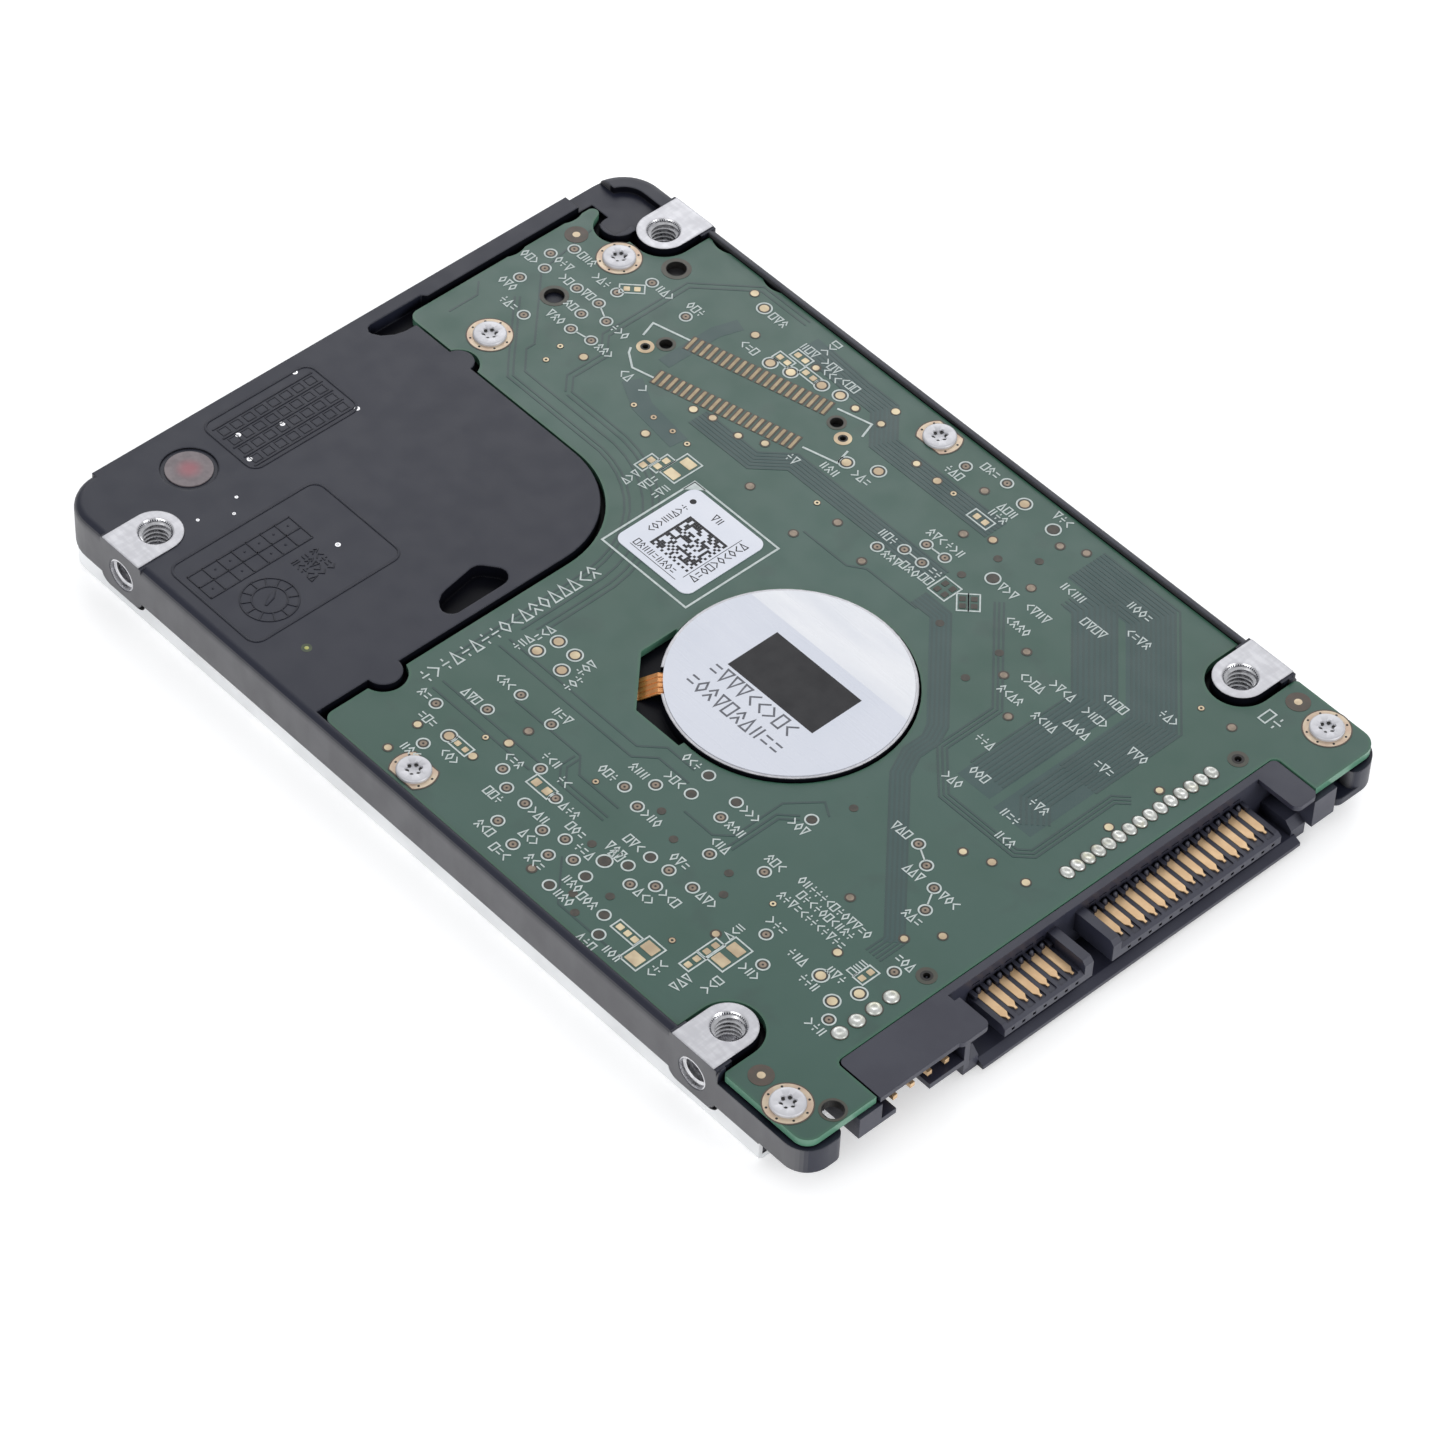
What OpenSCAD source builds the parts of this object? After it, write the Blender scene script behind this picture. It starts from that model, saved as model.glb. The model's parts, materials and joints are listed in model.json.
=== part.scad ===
/* [Case] */
// Length of the drive, from the rounded end to the connector's mating face
drive_length = 100.2; // [99.8:0.1:100.4]
// Width of the drive across its long sides
drive_width = 69.85; // [69.6:0.05:70.1]
// Height from the cover's outer face to the mounting faces
drive_height = 7; // [7:0.1:7.4]
// Radius of the two corners at the rounded end
corner_radius = 4.4; // [3.5:0.1:5]
// Thickness of the top cover's sheet
cover_thickness = 0.6; // [0.5:0.05:0.7]
// Height of the cover's folded skirt
cover_skirt_height = 2.3; // [2:0.1:2.35]

/* [Mounting holes] */
// Distance between the mounting holes along the drive
hole_spacing_x = 76.6; // [76.4:0.1:76.8]
// Distance between the bottom mounting holes across the drive
hole_spacing_y = 61.72; // [61.6:0.02:61.8]
// Distance of the nearer holes from the connector's mating face
hole_from_connector = 14; // [13.9:0.1:14.1]
// Distance of the side holes below the mounting faces
side_hole_drop = 3; // [2.9:0.1:3.1]
// Diameter of the M3 mounting holes over their threads
hole_diameter = 3; // [2.9:0.05:3.1]
// Width of the bare aluminium tongue around each hole
boss_width = 5.2; // [5:0.1:5.6]

/* [Disk and spindle] */
// Outer diameter of the disk
disk_diameter = 65; // [64.4:0.1:65]
// Inner diameter of the disk
disk_bore = 20; // [19.9:0.1:20.1]
// Thickness of the disk
disk_thickness = 0.8; // [0.6:0.05:0.8]
// Distance of the spindle axis from the middle of the drive
spindle_x = 10.35; // [10.1:0.05:10.4]
// Diameter of the spindle shaft
shaft_diameter = 3; // [2.6:0.1:3.2]
// Radial clearance of the spindle shaft in its sleeve
bearing_clearance = 0.03; // [0.02:0.01:0.08]
// Number of stator teeth
stator_teeth = 9; // [6:3:12]

/* [Actuator] */
// Distance from the pivot axis to the read heads
head_reach = 34; // [33.6:0.1:34.2]
// Direction of the parked arms from the pivot, in degrees
parked_angle = 72; // [71:0.5:73]
// Full swing of the arms from the ramp to the hub, in degrees
swing_angle = 34; // [30:1:34]
// Half of the angle that the voice coil spans, in degrees
coil_half_angle = 20; // [16:1:20]

/* [Circuit board] */
// Thickness of the circuit board
board_thickness = 0.8; // [0.6:0.1:0.8]
// Gap between the board and the bosses, plateau and motor
board_gap = 0.5; // [0.3:0.05:0.6]

/* [SATA connector] */
// Distance between neighbouring contacts
contact_pitch = 1.27; // [1.27:0.01:1.27]
// Number of signal contacts
signal_contacts = 7; // [7:1:7]
// Number of power contacts
power_contacts = 15; // [15:1:15]

/* [Hidden] */
$fn = 72;
eps = 0.01;
half_l = drive_length / 2;
half_w = drive_width / 2;

// Heights above the cover's outer face
plateau_z = drive_height - 0.1;
board_floor_z = 5.5;
shelf_z = 6.2;
board_z = 5.7;
board_top_z = board_z + board_thickness;
shallow_floor_z = 4.9;
disk_roof_z = 4.4;
arm_roof_z = 4.9;
magnet_roof_z = 6.2;
motor_roof_z = 6.3;
motor_face_z = 6.85;
lead_angle = 228;
wall_low_z = 2.4;
gasket_z = 0.9;
lug_z = 2.6;
disk_z = 3;
disk_top_z = disk_z + disk_thickness;

// Plan positions
hole_x = [half_l - hole_from_connector - hole_spacing_x, half_l - hole_from_connector];
hole_y = hole_spacing_y / 2;
side_hole_z = drive_height - side_hole_drop;
hole_r = hole_diameter / 2;
boss_r = boss_width / 2;
spindle = [spindle_x, 0];
pivot = [-28.5, -13];
latch_pivot = [-20.5, -28.8];
breather = [-44.85, -23.45];
base_end_x = 44.4;
wide_board_x = 39.2;
board_x = [-47.7, 49.5];
board_y = [-33.75, 33.85];
wide_board_y = [-34.4, 34.75];
rim_y = 34;
rim_x = -48.2;
edge_r = 0.8;
shelf_y = 26.9;
shelf_at = [-44.1, 28.3];
shelf_r = 1.8;
plateau_corner = [-23.6, -4.9];
plateau_corner_r = 9.5;
plateau_right_x = plateau_corner[0] + plateau_corner_r;
cover_screw_spots = [[-46.2, 31.1], [-46.2, -31.1], [-8.9, 31.9], [-8.9, -31.9], [41, 31.4], [41, -31.4]];
dimple_r = 2.5;
screw_head_r = 1.95;
board_screw_spots = [[-40.7, 25.4], [-40.7, 9.2], [-3.5, 31.8], [-3.5, -31.8], [45.2, 32.5], [45.2, -32.5]];

// Spindle and motor radii
disk_r = disk_diameter / 2;
disk_bore_r = disk_bore / 2;
shroud_r = disk_r + 0.7;
motor_recess_r = 10.9;
motor_boss_r = 11.5;
sleeve_r = 3.2;
shaft_r = shaft_diameter / 2;
shaft_bore_r = shaft_r + bearing_clearance;

// Actuator radii, from the pivot
pivot_bore_r = 4.5;
arm_hub_r = 6.5;
coil_angle = parked_angle + 180;
coil_r = [9, 16.2];
yoke_r = [7, 17.2];
spacer_r = 1.5;
spacer_reach = 14;
spacer_angles = [187, 285];
arm_z = [[2.05, 2.55], [4.25, 4.75]];
beam_z = [[2.55, 2.65], [4.15, 4.25]];
slider_z = [[2.65, 2.88], [3.92, 4.15]];
ramp_r = [35.2, 38];
ramp_angles = [66.2, 76];
coil_z = [2.85, 3.95];
flex_loop = [-37.55, -6.2];
flex_loop_r = 4.05;

// Chips under the board: centre, size
controller = [[30, 14.5], [12, 12]];
memory = [[20.5, 27], [8, 6]];
motor_driver = [[13, -23.5], [8, 8]];
flash = [[27, -27], [5, 4]];
chips = [controller, memory, motor_driver, flash];
header_at = [-19.65, 22.05];
header_tilt = 15.6;
header_size = [16.6, 5];

// SATA connector
housing_back_x = 44.6;
board_cut_x = 44.5;
notch_r = 0.7;
mating_x = half_l;
first_signal_y = -(signal_contacts + 1.5) * contact_pitch;
first_power_y = 2.5 * contact_pitch;
signal_y = [for (i = [0:signal_contacts - 1]) first_signal_y + i * contact_pitch];
power_y = [for (i = [0:power_contacts - 1]) first_power_y + i * contact_pitch];
contact_y = concat(signal_y, power_y);
tongue_z = [3.3, 4.5];
tail_x = 42.2;
jumper_y = [for (i = [0:3]) -24 + 2 * i];
jumper_z = 4.45;

// ---------- helpers ----------

module slab(z0, z1) translate([0, 0, z0]) linear_extrude(z1 - z0) children();

module span(x0, y0, x1, y1) translate([x0, y0]) square([x1 - x0, y1 - y0]);

module block(x, y, z) translate([x[0], y[0], z[0]]) cube([x[1] - x[0], y[1] - y[0], z[1] - z[0]]);

module corner_waste(x, y, sx, sy, r) difference() {
    span(min(x, x + sx * r) - (sx > 0 ? 1 : 0), min(y, y + sy * r) - (sy > 0 ? 1 : 0),
        max(x, x + sx * r) + (sx < 0 ? 1 : 0), max(y, y + sy * r) + (sy < 0 ? 1 : 0));
    translate([x + sx * r, y + sy * r]) circle(r);
}

module rounded_span(x0, y0, x1, y1, r) difference() {
    span(x0, y0, x1, y1);
    corner_waste(x0, y0, 1, 1, r);
    corner_waste(x0, y1, 1, -1, r);
    corner_waste(x1, y0, -1, 1, r);
    corner_waste(x1, y1, -1, -1, r);
}

module ring(outer, inner, z0, z1) slab(z0, z1) difference() {
    circle(outer);
    circle(inner);
}

module disc(r, z0, z1) slab(z0, z1) circle(r);

module wedge(r, a0, a1) intersection() {
    circle(r);
    polygon(concat([[0, 0]], [for (i = [0:4]) 2 * r * [cos(a0 + (a1 - a0) * i / 4), sin(a0 + (a1 - a0) * i / 4)]]));
}

module ring_sector(inner, outer, a0, a1) difference() {
    wedge(outer, a0, a1);
    circle(inner);
}

module at_pivot(angle = 0) translate([pivot[0], pivot[1], 0]) rotate([0, 0, angle]) children();

module at_spindle() translate([spindle[0], spindle[1], 0]) children();

module both_sides() {
    children();
    mirror([0, 1, 0]) children();
}

// ---------- case ----------

module case_outline(inset = 0) difference() {
    span(-half_l + inset, -half_w + inset, base_end_x, half_w - inset);
    corner_waste(-half_l + inset, -half_w + inset, 1, 1, corner_radius - inset);
    corner_waste(-half_l + inset, half_w - inset, 1, -1, corner_radius - inset);
}

module boss_outline(x, r) {
    translate([x, hole_y]) circle(r);
    span(x - r, hole_y, x + r, half_w);
}

module plateau_outline(grow = 0) {
    span(-60, -40, plateau_right_x + grow, plateau_corner[1]);
    span(-60, -40, plateau_corner[0], plateau_corner[1] + plateau_corner_r + grow);
    translate(plateau_corner) circle(plateau_corner_r + grow);
    translate([-39.6, 4.4]) circle(1.5 + grow);
    translate([plateau_right_x, -26.3]) circle(1.75 + grow);
}

module edge_slot_outline() polygon([[rim_x, 8], [-48.7, 7.5], [-48.7, 1.4], [-48.5, 0.9], [-48, 0.6],
    [-47.6, 0.7], [-46.9, 1.15], [-46.2, 2.2], [-45.9, 3.3], [-45.85, 8]]);

// Slot in the plateau beside the arms' pivot
module plateau_slot_outline() polygon([[-18.6, -12.1], [-18.5, -11.6], [-18.2, -11.2], [-17.2, -10.4],
    [-16.8, -10.15], [-16.3, -10.05], [-15.8, -10.2], [-15.4, -10.55], [-15.2, -11], [-15.15, -11.5],
    [-15.15, -16.7], [-15.3, -17.1], [-15.7, -17.5], [-16.2, -17.65], [-16.7, -17.5], [-17.3, -17.1],
    [-17.8, -16.4], [-18, -15.8]]);

// Shelf at the far corner, which ends where the board's corner is cut away
module shelf_outline() {
    span(-60, shelf_at[1] + 0.3, shelf_at[0] + shelf_r, 40);
    translate(shelf_at) circle(shelf_r);
}

// Opening over that shelf, inside the lip along the case's corner
module shelf_pocket_outline() difference() {
    union() {
        span(-60, shelf_y, -43, 31.3);
        translate([-45.7, 30.5]) circle(2.5);
        span(-45.7, 29, -42, 33);
    }
    boss_outline(hole_x[0], boss_r);
}

// The sunken area that the circuit board lies in
module board_recess_outline() {
    difference() {
        union() {
            span(rim_x, -rim_y, wide_board_x + 1, rim_y);
            span(wide_board_x, -40, 60, 40);
        }
        plateau_outline();
        shelf_outline();
        both_sides() for (x = hole_x) boss_outline(x, boss_r);
    }
    edge_slot_outline();
}

// Everything inside the case that holds the disk, the arms and the latch
module cavity_outline(grow = 0) difference() {
    union() {
        translate(spindle) circle(shroud_r + grow);
        rounded_span(-48.3 - grow, -33.3 - grow, -5, 33.3 + grow, 3);
    }
    both_sides() {
        span(hole_x[0] - 3.1 + grow, 28.5 + grow, hole_x[0] + 3.1 - grow, 40);
        span(-60, 30.5 + grow, -44.6 - grow, 40);
        span(-10.6 + grow, 31.5, -7.2 - grow, 40);
    }
    for (p = cover_screw_spots) translate(p) circle(3.3 - grow);
}

// What is cut away to round the upper edge of the case
module case_edge_waste() {
    profile = concat([[eps, -edge_r], [eps, eps], [-edge_r, eps]],
        [for (a = [0:15:90]) edge_r * [sin(a) - 1, cos(a) - 1]]);
    module along_x(y) translate([-half_l + corner_radius, y, plateau_z]) rotate([90, 0, 90])
        linear_extrude(wide_board_x + half_l - corner_radius) polygon(profile);
    both_sides() along_x(half_w);
    translate([-half_l, half_w - corner_radius, plateau_z]) rotate([90, 0, 180])
        linear_extrude(drive_width - 2 * corner_radius) polygon(profile);
    both_sides() translate([-half_l + corner_radius, half_w - corner_radius, plateau_z])
        rotate([0, 0, 90]) rotate_extrude(angle = 90) translate([corner_radius, 0]) polygon(profile);
}

// Profile of the pad around a side hole, drawn as seen from the side
module side_pad_outline(grow = 0) {
    half = 2.9 + grow;
    low = 1.5 - grow;
    translate([-half, low + 1.2]) square([2 * half, plateau_z - low - 1.2]);
    translate([-half + 1.2, low]) square([2 * half - 2.4, 2]);
    for (s = [-1, 1]) translate([s * (half - 1.2), low + 1.2]) circle(1.2);
}

module side_pad(depth, grow = 0) translate([0, half_w, 0]) rotate([90, 0, 0])
    linear_extrude(depth) side_pad_outline(grow);

module lug_outline(y) difference() {
    span(43, y, half_l, half_w);
    corner_waste(half_l, half_w, -1, -1, 2.6);
    corner_waste(half_l, y, -1, 1, 1);
}

module threaded_bore(depth) {
    lead = 0.18;
    translate([0, 0, -depth]) cylinder(r = hole_r, h = depth + eps);
    translate([0, 0, -lead]) cylinder(r1 = hole_r, r2 = hole_r + lead + eps, h = lead + eps);
}

module casting_outside() {
    difference() {
        union() {
            slab(gasket_z, wall_low_z + eps) case_outline(0.65);
            slab(wall_low_z, plateau_z) case_outline();
        }
        case_edge_waste();
        slab(board_floor_z, plateau_z + 1) board_recess_outline();
        slab(shelf_z, plateau_z + 1) shelf_pocket_outline();
    }
    mirror([0, 1, 0]) slab(lug_z, board_floor_z) lug_outline(30.4);
    slab(lug_z, board_floor_z) lug_outline(31);
    slab(lug_z, lug_z + 0.8) lug_outline(28.95);
    both_sides() for (x = hole_x) {
        translate([x, 0, 0]) side_pad(1.8);
        slab(board_floor_z - 1, drive_height) boss_outline(x, boss_r);
    }
    at_spindle() slab(board_floor_z - eps, motor_face_z) circle(motor_boss_r);
    for (p = board_screw_spots) translate(p) slab(board_floor_z - eps, board_z) circle(1.5);
}

module casting_pockets() {
    // Room for the chips, the header and the connector's tails on the board's underside
    slab(shallow_floor_z, board_floor_z + eps) {
        for (c = chips) translate([c[0][0] - c[1][0] / 2 - 1.6, c[0][1] - c[1][1] / 2 - 1.6])
            square([c[1][0] + 3.2, c[1][1] + 3.2]);
        span(41, -28.6, 60, 28.6);
    }
    slab(jumper_z - 0.35, shallow_floor_z + eps) span(41.8, -25, 60, -17);
    translate([header_at[0], header_at[1], 0]) rotate([0, 0, header_tilt])
        block([-8.5, 8.5], [-2.7, 2.7], [shallow_floor_z - 1, board_floor_z + 1]);
    slab(board_floor_z, plateau_z + 1) plateau_slot_outline();
    // Breather recess and breather hole
    translate([breather[0], breather[1], 0]) {
        slab(plateau_z - 0.15, plateau_z + 1) circle(2.7);
        slab(magnet_roof_z - 2, plateau_z) circle(0.5);
    }
    // Window through which the motor leads come out
    at_spindle() rotate([0, 0, lead_angle]) block([8.8, 12.5], [-1.6, 1.6], [motor_roof_z, motor_face_z + 1]);
}

module casting_inside() {
    difference() {
        slab(gasket_z - eps, disk_roof_z) cavity_outline();
        for (p = [board_screw_spots[0], board_screw_spots[1]])
            translate(p) slab(3.4, disk_roof_z + 1) circle(1.8);
    }
    difference() {
        slab(disk_roof_z - eps, arm_roof_z) intersection() {
            cavity_outline();
            span(-60, -40, 4, 40);
        }
        for (p = [board_screw_spots[0], board_screw_spots[1]])
            translate(p) slab(3.4, arm_roof_z + 1) circle(1.8);
    }
    slab(arm_roof_z - eps, magnet_roof_z) difference() {
        rounded_span(-47.6, -32.6, -19.4, -5, 2);
        span(-60, -40, hole_x[0] + 3.1, -27.8);
    }
    at_spindle() difference() {
        slab(disk_roof_z - eps, motor_roof_z) circle(motor_recess_r);
        slab(disk_roof_z + 0.1, motor_roof_z + eps) circle(4.2);
    }
}

module base_casting() color([0.13, 0.13, 0.14]) difference() {
    casting_outside();
    casting_pockets();
    casting_inside();
    at_spindle() slab(disk_roof_z, motor_face_z + eps) circle(sleeve_r);
    at_pivot() slab(magnet_roof_z - eps, magnet_roof_z + 0.4) circle(2);
    for (a = spacer_angles) at_pivot(a) translate([spacer_reach, 0]) slab(magnet_roof_z - eps, 6.6) circle(0.7);
    translate([latch_pivot[0], latch_pivot[1], 0]) slab(arm_roof_z - eps, magnet_roof_z + 0.3) circle(0.8);
    at_pivot(73) translate([43.4, 0]) slab(arm_roof_z - eps, 5.3) circle(0.7);
    translate([-42.6, 0.4]) slab(arm_roof_z - eps, 5.3) circle(0.7);
    for (p = cover_screw_spots) translate(p) {
        slab(gasket_z - eps, 1) circle(dimple_r);
        slab(gasket_z, 3.6) circle(1);
    }
    for (p = board_screw_spots) translate(p) slab(3.7, board_z + eps) circle(0.8);
    both_sides() for (x = hole_x) {
        translate([x, hole_y, drive_height]) threaded_bore(2.9);
        translate([x, half_w, side_hole_z]) rotate([-90, 0, 0]) threaded_bore(2.3);
    }
}

module cover_outline(inset = 0) intersection() {
    case_outline(0.15 + inset);
    span(-60, -40, base_end_x, 40);
}

module top_cover() color([0.78, 0.79, 0.8]) difference() {
    union() {
        slab(0, cover_thickness) cover_outline();
        slab(cover_thickness - eps, cover_skirt_height) difference() {
            cover_outline();
            cover_outline(0.45);
        }
        for (p = cover_screw_spots) translate(p) slab(0.3, 1) circle(dimple_r);
    }
    for (p = cover_screw_spots) translate(p) {
        slab(-1, 0.4) circle(screw_head_r + 0.1);
        slab(-1, 2) circle(1.05);
    }
    slab(-1, 0.12) label_outline(0.2);
    both_sides() {
        for (x = hole_x) translate([x, 1, 0]) side_pad(3, 0.25);
        translate([-half_l, half_w - 0.15 - 0.4, -eps]) rotate([45, 0, 0]) translate([0, 0, -2])
            cube([drive_length, 2, 2]);
    }
    translate([-half_l + 0.55, -half_w, -eps]) rotate([0, -45, 0]) translate([-2, 0, -2])
        cube([2, drive_width, 2]);
}

module cover_gasket() color([0.1, 0.1, 0.1]) slab(cover_thickness, gasket_z) difference() {
    intersection() {
        case_outline(0.75);
        cavity_outline(1.1);
        span(-60, -40, base_end_x - 0.1, 40);
    }
    cavity_outline();
    for (p = cover_screw_spots) translate(p) circle(dimple_r + 0.05);
}

module cover_screws() color([0.7, 0.71, 0.73]) for (p = cover_screw_spots) translate([p[0], p[1], 0]) {
    difference() {
        slab(0.04, 0.4) circle(screw_head_r);
        slab(-1, 0.25) for (a = [0:60:120]) rotate(a) square([1.6, 0.44], center = true);
    }
    slab(0.4 - eps, 3.4) circle(0.98);
}

module label_outline(grow = 0) difference() {
    span(-40 - grow, -26 - grow, 30 + grow, 26 + grow);
    for (x = [-40, 30], y = [-26, 26]) corner_waste(x + sign(x) * grow, y + sign(y) * grow,
        -sign(x), -sign(y), 2);
}

module cover_label() color([0.93, 0.94, 0.94]) slab(0.02, 0.12) label_outline();

// ---------- circuit board ----------

module wide_board_outline() {
    beside_boss_x = hole_x[1] + boss_r + board_gap + 0.1;
    difference() {
        span(wide_board_x, wide_board_y[0], board_x[1], wide_board_y[1]);
        corner_waste(board_x[1], wide_board_y[0], -1, 1, 1.5);
        corner_waste(board_x[1], wide_board_y[1], -1, -1, 1.8);
        corner_waste(beside_boss_x, wide_board_y[0], 1, 1, 0.4);
        corner_waste(beside_boss_x, wide_board_y[1], 1, -1, 0.4);
        rounded_span(board_cut_x, -26.4, 60, 26.6, notch_r);
    }
}

module board_outline() {
    tip_r = 0.6;
    difference() {
        union() {
            span(board_x[0], board_y[0], wide_board_x + eps, board_y[1]);
            wide_board_outline();
        }
        plateau_outline(board_gap);
        both_sides() for (x = hole_x) boss_outline(x, boss_r + board_gap + 0.1);
        at_spindle() motor_opening();
        span(-60, shelf_at[1] - tip_r, hole_x[0], 40);
        translate(shelf_at) circle(shelf_r + 0.6);
        corner_waste(board_x[0], plateau_corner[1] + plateau_corner_r + board_gap, 1, 1, 1.1);
        corner_waste(plateau_right_x + board_gap, board_y[0], 1, 1, 1.1);
        // Shallow hollows where the board was held in its panel
        for (y = [18.6, 25.8]) translate([board_x[0] - 2.25, y]) circle(2.5);
        for (x = [-35.6, -28.5]) translate([x, board_y[1] + 2.15]) circle(2.5);
    }
    translate([board_x[0] + tip_r, shelf_at[1] - tip_r]) circle(tip_r);
}

module motor_opening() {
    circle(motor_boss_r + 0.25);
    polygon([[-11.6, -3], [-11.6, -7.2], [-6.6, -12.3], [-1, -12.3], [0, 0]]);
}

module board_holes() {
    for (p = board_screw_spots) translate(p) circle(0.9);
    for (y = power_y) translate([tail_x, y]) circle(0.42);
    for (y = jumper_y) translate([tail_x + 0.3, y]) circle(0.5);
    for (p = [[-36.1, 28.55], [-40.8, 17.3], [48.15, -30.1]]) translate(p) circle(1);
    for (p = [[-30.1, 19.2], [-9.2, 24.9], [42.6, 23.9], [42.7, -14.1]]) translate(p) circle(0.45);
    for (p = [[-29.1, 20.9], [-11.1, 25.9]]) translate(p) circle(0.65);
}

module circuit_board() color([0.22, 0.36, 0.3]) slab(board_z, board_top_z) difference() {
    board_outline();
    board_holes();
}

module board_screws() color([0.85, 0.85, 0.86]) for (p = board_screw_spots) translate([p[0], p[1], 0]) {
    difference() {
        slab(board_top_z, board_top_z + 0.35) circle(1.6);
        slab(board_top_z + 0.1, board_top_z + 1) for (a = [0:60:120]) rotate(a)
            square([1.4, 0.4], center = true);
    }
    slab(3.9, board_top_z + eps) circle(0.78);
}

module insulator_sheet() color([0.12, 0.12, 0.12]) slab(board_floor_z, board_z) difference() {
    intersection() {
        span(-46.8, -33, 40.6, 33);
        board_outline();
    }
    at_spindle() {
        circle(motor_boss_r + 0.9);
        polygon([[-12.4, -3], [-12.4, -7.6], [-7, -13.1], [0, -13.1], [0, 0]]);
    }
    for (c = chips) translate([c[0][0] - c[1][0] / 2 - 1.4, c[0][1] - c[1][1] / 2 - 1.4])
        square([c[1][0] + 2.8, c[1][1] + 2.8]);
    for (p = board_screw_spots) translate(p) circle(1.9);
    translate(header_at) rotate(header_tilt) square([17.4, 5.8], center = true);
}

module chip(c, low) translate([c[0][0], c[0][1], 0]) slab(low, board_z)
    square(c[1], center = true);

module controller_chip() color([0.09, 0.09, 0.1]) chip(controller, 4.96);
module memory_chip() color([0.1, 0.1, 0.11]) chip(memory, 5);
module motor_driver_chip() color([0.08, 0.08, 0.09]) chip(motor_driver, 4.98);
module flash_chip() color([0.11, 0.11, 0.12]) chip(flash, 5.1);

// Capacitors and resistors in a ring around the controller and beside the motor driver
module small_components() color([0.62, 0.5, 0.36]) {
    for (i = [-2:2], s = [-1, 1])
        translate([controller[0][0] + i * 2.4, controller[0][1] + s * 6.8, 0]) small_part(1, 0.5);
    for (i = [-2:2], s = [-1, 1])
        translate([controller[0][0] + s * 6.8, controller[0][1] + i * 2.4, 0]) small_part(0.5, 1);
    for (i = [-1:1], s = [-1, 1])
        translate([motor_driver[0][0] + i * 2.4, motor_driver[0][1] + s * 4.8, 0]) small_part(1, 0.6);
}

module small_part(w, d) slab(5.15, board_z) square([w, d], center = true);

module board_sticker() color([0.95, 0.95, 0.96])
    slab(board_top_z, board_top_z + 0.08) rounded_span(-13.4, 0.3, -3.6, 10.3, 1);

module interconnect_header() color([0.1, 0.1, 0.1]) translate([header_at[0], header_at[1], 0])
    rotate([0, 0, header_tilt]) difference() {
        block([-header_size[0] / 2, header_size[0] / 2], [-header_size[1] / 2, header_size[1] / 2], [4.96, board_z]);
        block([-7.6, 7.6], [-1.2, 1.2], [4, 5.3]);
    }

// ---------- SATA connector ----------

module tongue(y0, y1, key_y) {
    face_x = mating_x;
    translate([0, y1, 0]) rotate([90, 0, 0]) linear_extrude(y1 - y0)
        polygon([[45.3, tongue_z[0]], [face_x, tongue_z[0]], [face_x, tongue_z[1] - 0.35],
            [face_x - 0.45, tongue_z[1]], [45.3, tongue_z[1]]]);
    translate([0, key_y + 1, 0]) rotate([90, 0, 0]) linear_extrude(1)
        polygon([[45.3, tongue_z[0]], [face_x, tongue_z[0]], [face_x, 5.2],
            [face_x - 0.45, 5.65], [45.3, 5.65]]);
}

module housing_frame() {
    // Rear wall, with the thin band that shows along the board's edge
    slab(0.8, 6.45) difference() {
        span(housing_back_x, -26.2, 45.4, 26.4);
        corner_waste(housing_back_x, -26.2, 1, 1, notch_r - 0.1);
        corner_waste(housing_back_x, 26.4, 1, -1, notch_r - 0.1);
    }
    block([housing_back_x, 45.4], [-28.6, 28.8], [3.1, 5.6]);
    // Body under the board that holds the solder tails
    block([41.4, housing_back_x + eps], [-26, 24], [shallow_floor_z + 0.05, 5.65]);
    // Floor of the shroud with its sloping lip
    translate([0, 24.8, 0]) rotate([90, 0, 0]) linear_extrude(38.9)
        polygon([[45.3, 0.8], [mating_x, 0.8], [mating_x, 1.2], [mating_x - 0.8, 1.6], [45.3, 1.6]]);
    // Jumper block: roof, end block, floor in two parts with a gap between them
    block([45.3, 49.8], [-26.2, -16.4], [5.9, 6.45]);
    block([45.3, 49.9], [-28.6, -26], [3.1, 5.6]);
    block([45.3, 49.9], [-26 - eps, -24.3], [3.1, 3.7]);
    block([45.3, 49.9], [-20.4, -16.2], [3.1, 3.7]);
    // Guide at the jumper end
    block([45.3, 49.9], [-16.4, -15.8], [2.3, 6.45]);
    difference() {
        slab(5.9, 6.45) rounded_span(45.2, -17.2, mating_x, -13.6, 0.7);
        block([45, 46.2], [-14.2, -13], [5, 7]);
    }
    translate([0, -14.1, 0]) rotate([90, 0, 0]) linear_extrude(1.75)
        polygon([[45.3, 0.8], [49.4, 0.8], [49.4, 2.2], [48.6, 3], [45.3, 3]]);
    // Guide at the far end
    slab(5.9, 6.45) rounded_span(44.8, 23.6, mating_x, 26.4, 0.7);
    block([45.3, mating_x], [26, 28.8], [2.4, 5.6]);
    translate([0, 26.2, 0]) rotate([90, 0, 0]) linear_extrude(1.8)
        polygon([[45.3, 0.8], [49.2, 0.8], [49.2, 2.2], [48.4, 3], [45.3, 3]]);
}

// Channel in the tongue that a contact lies in
module contact_groove(y) block([45.25, 49.75], [y - 0.42, y + 0.42], [tongue_z[1] - 0.12, tongue_z[1] + 1]);

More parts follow.
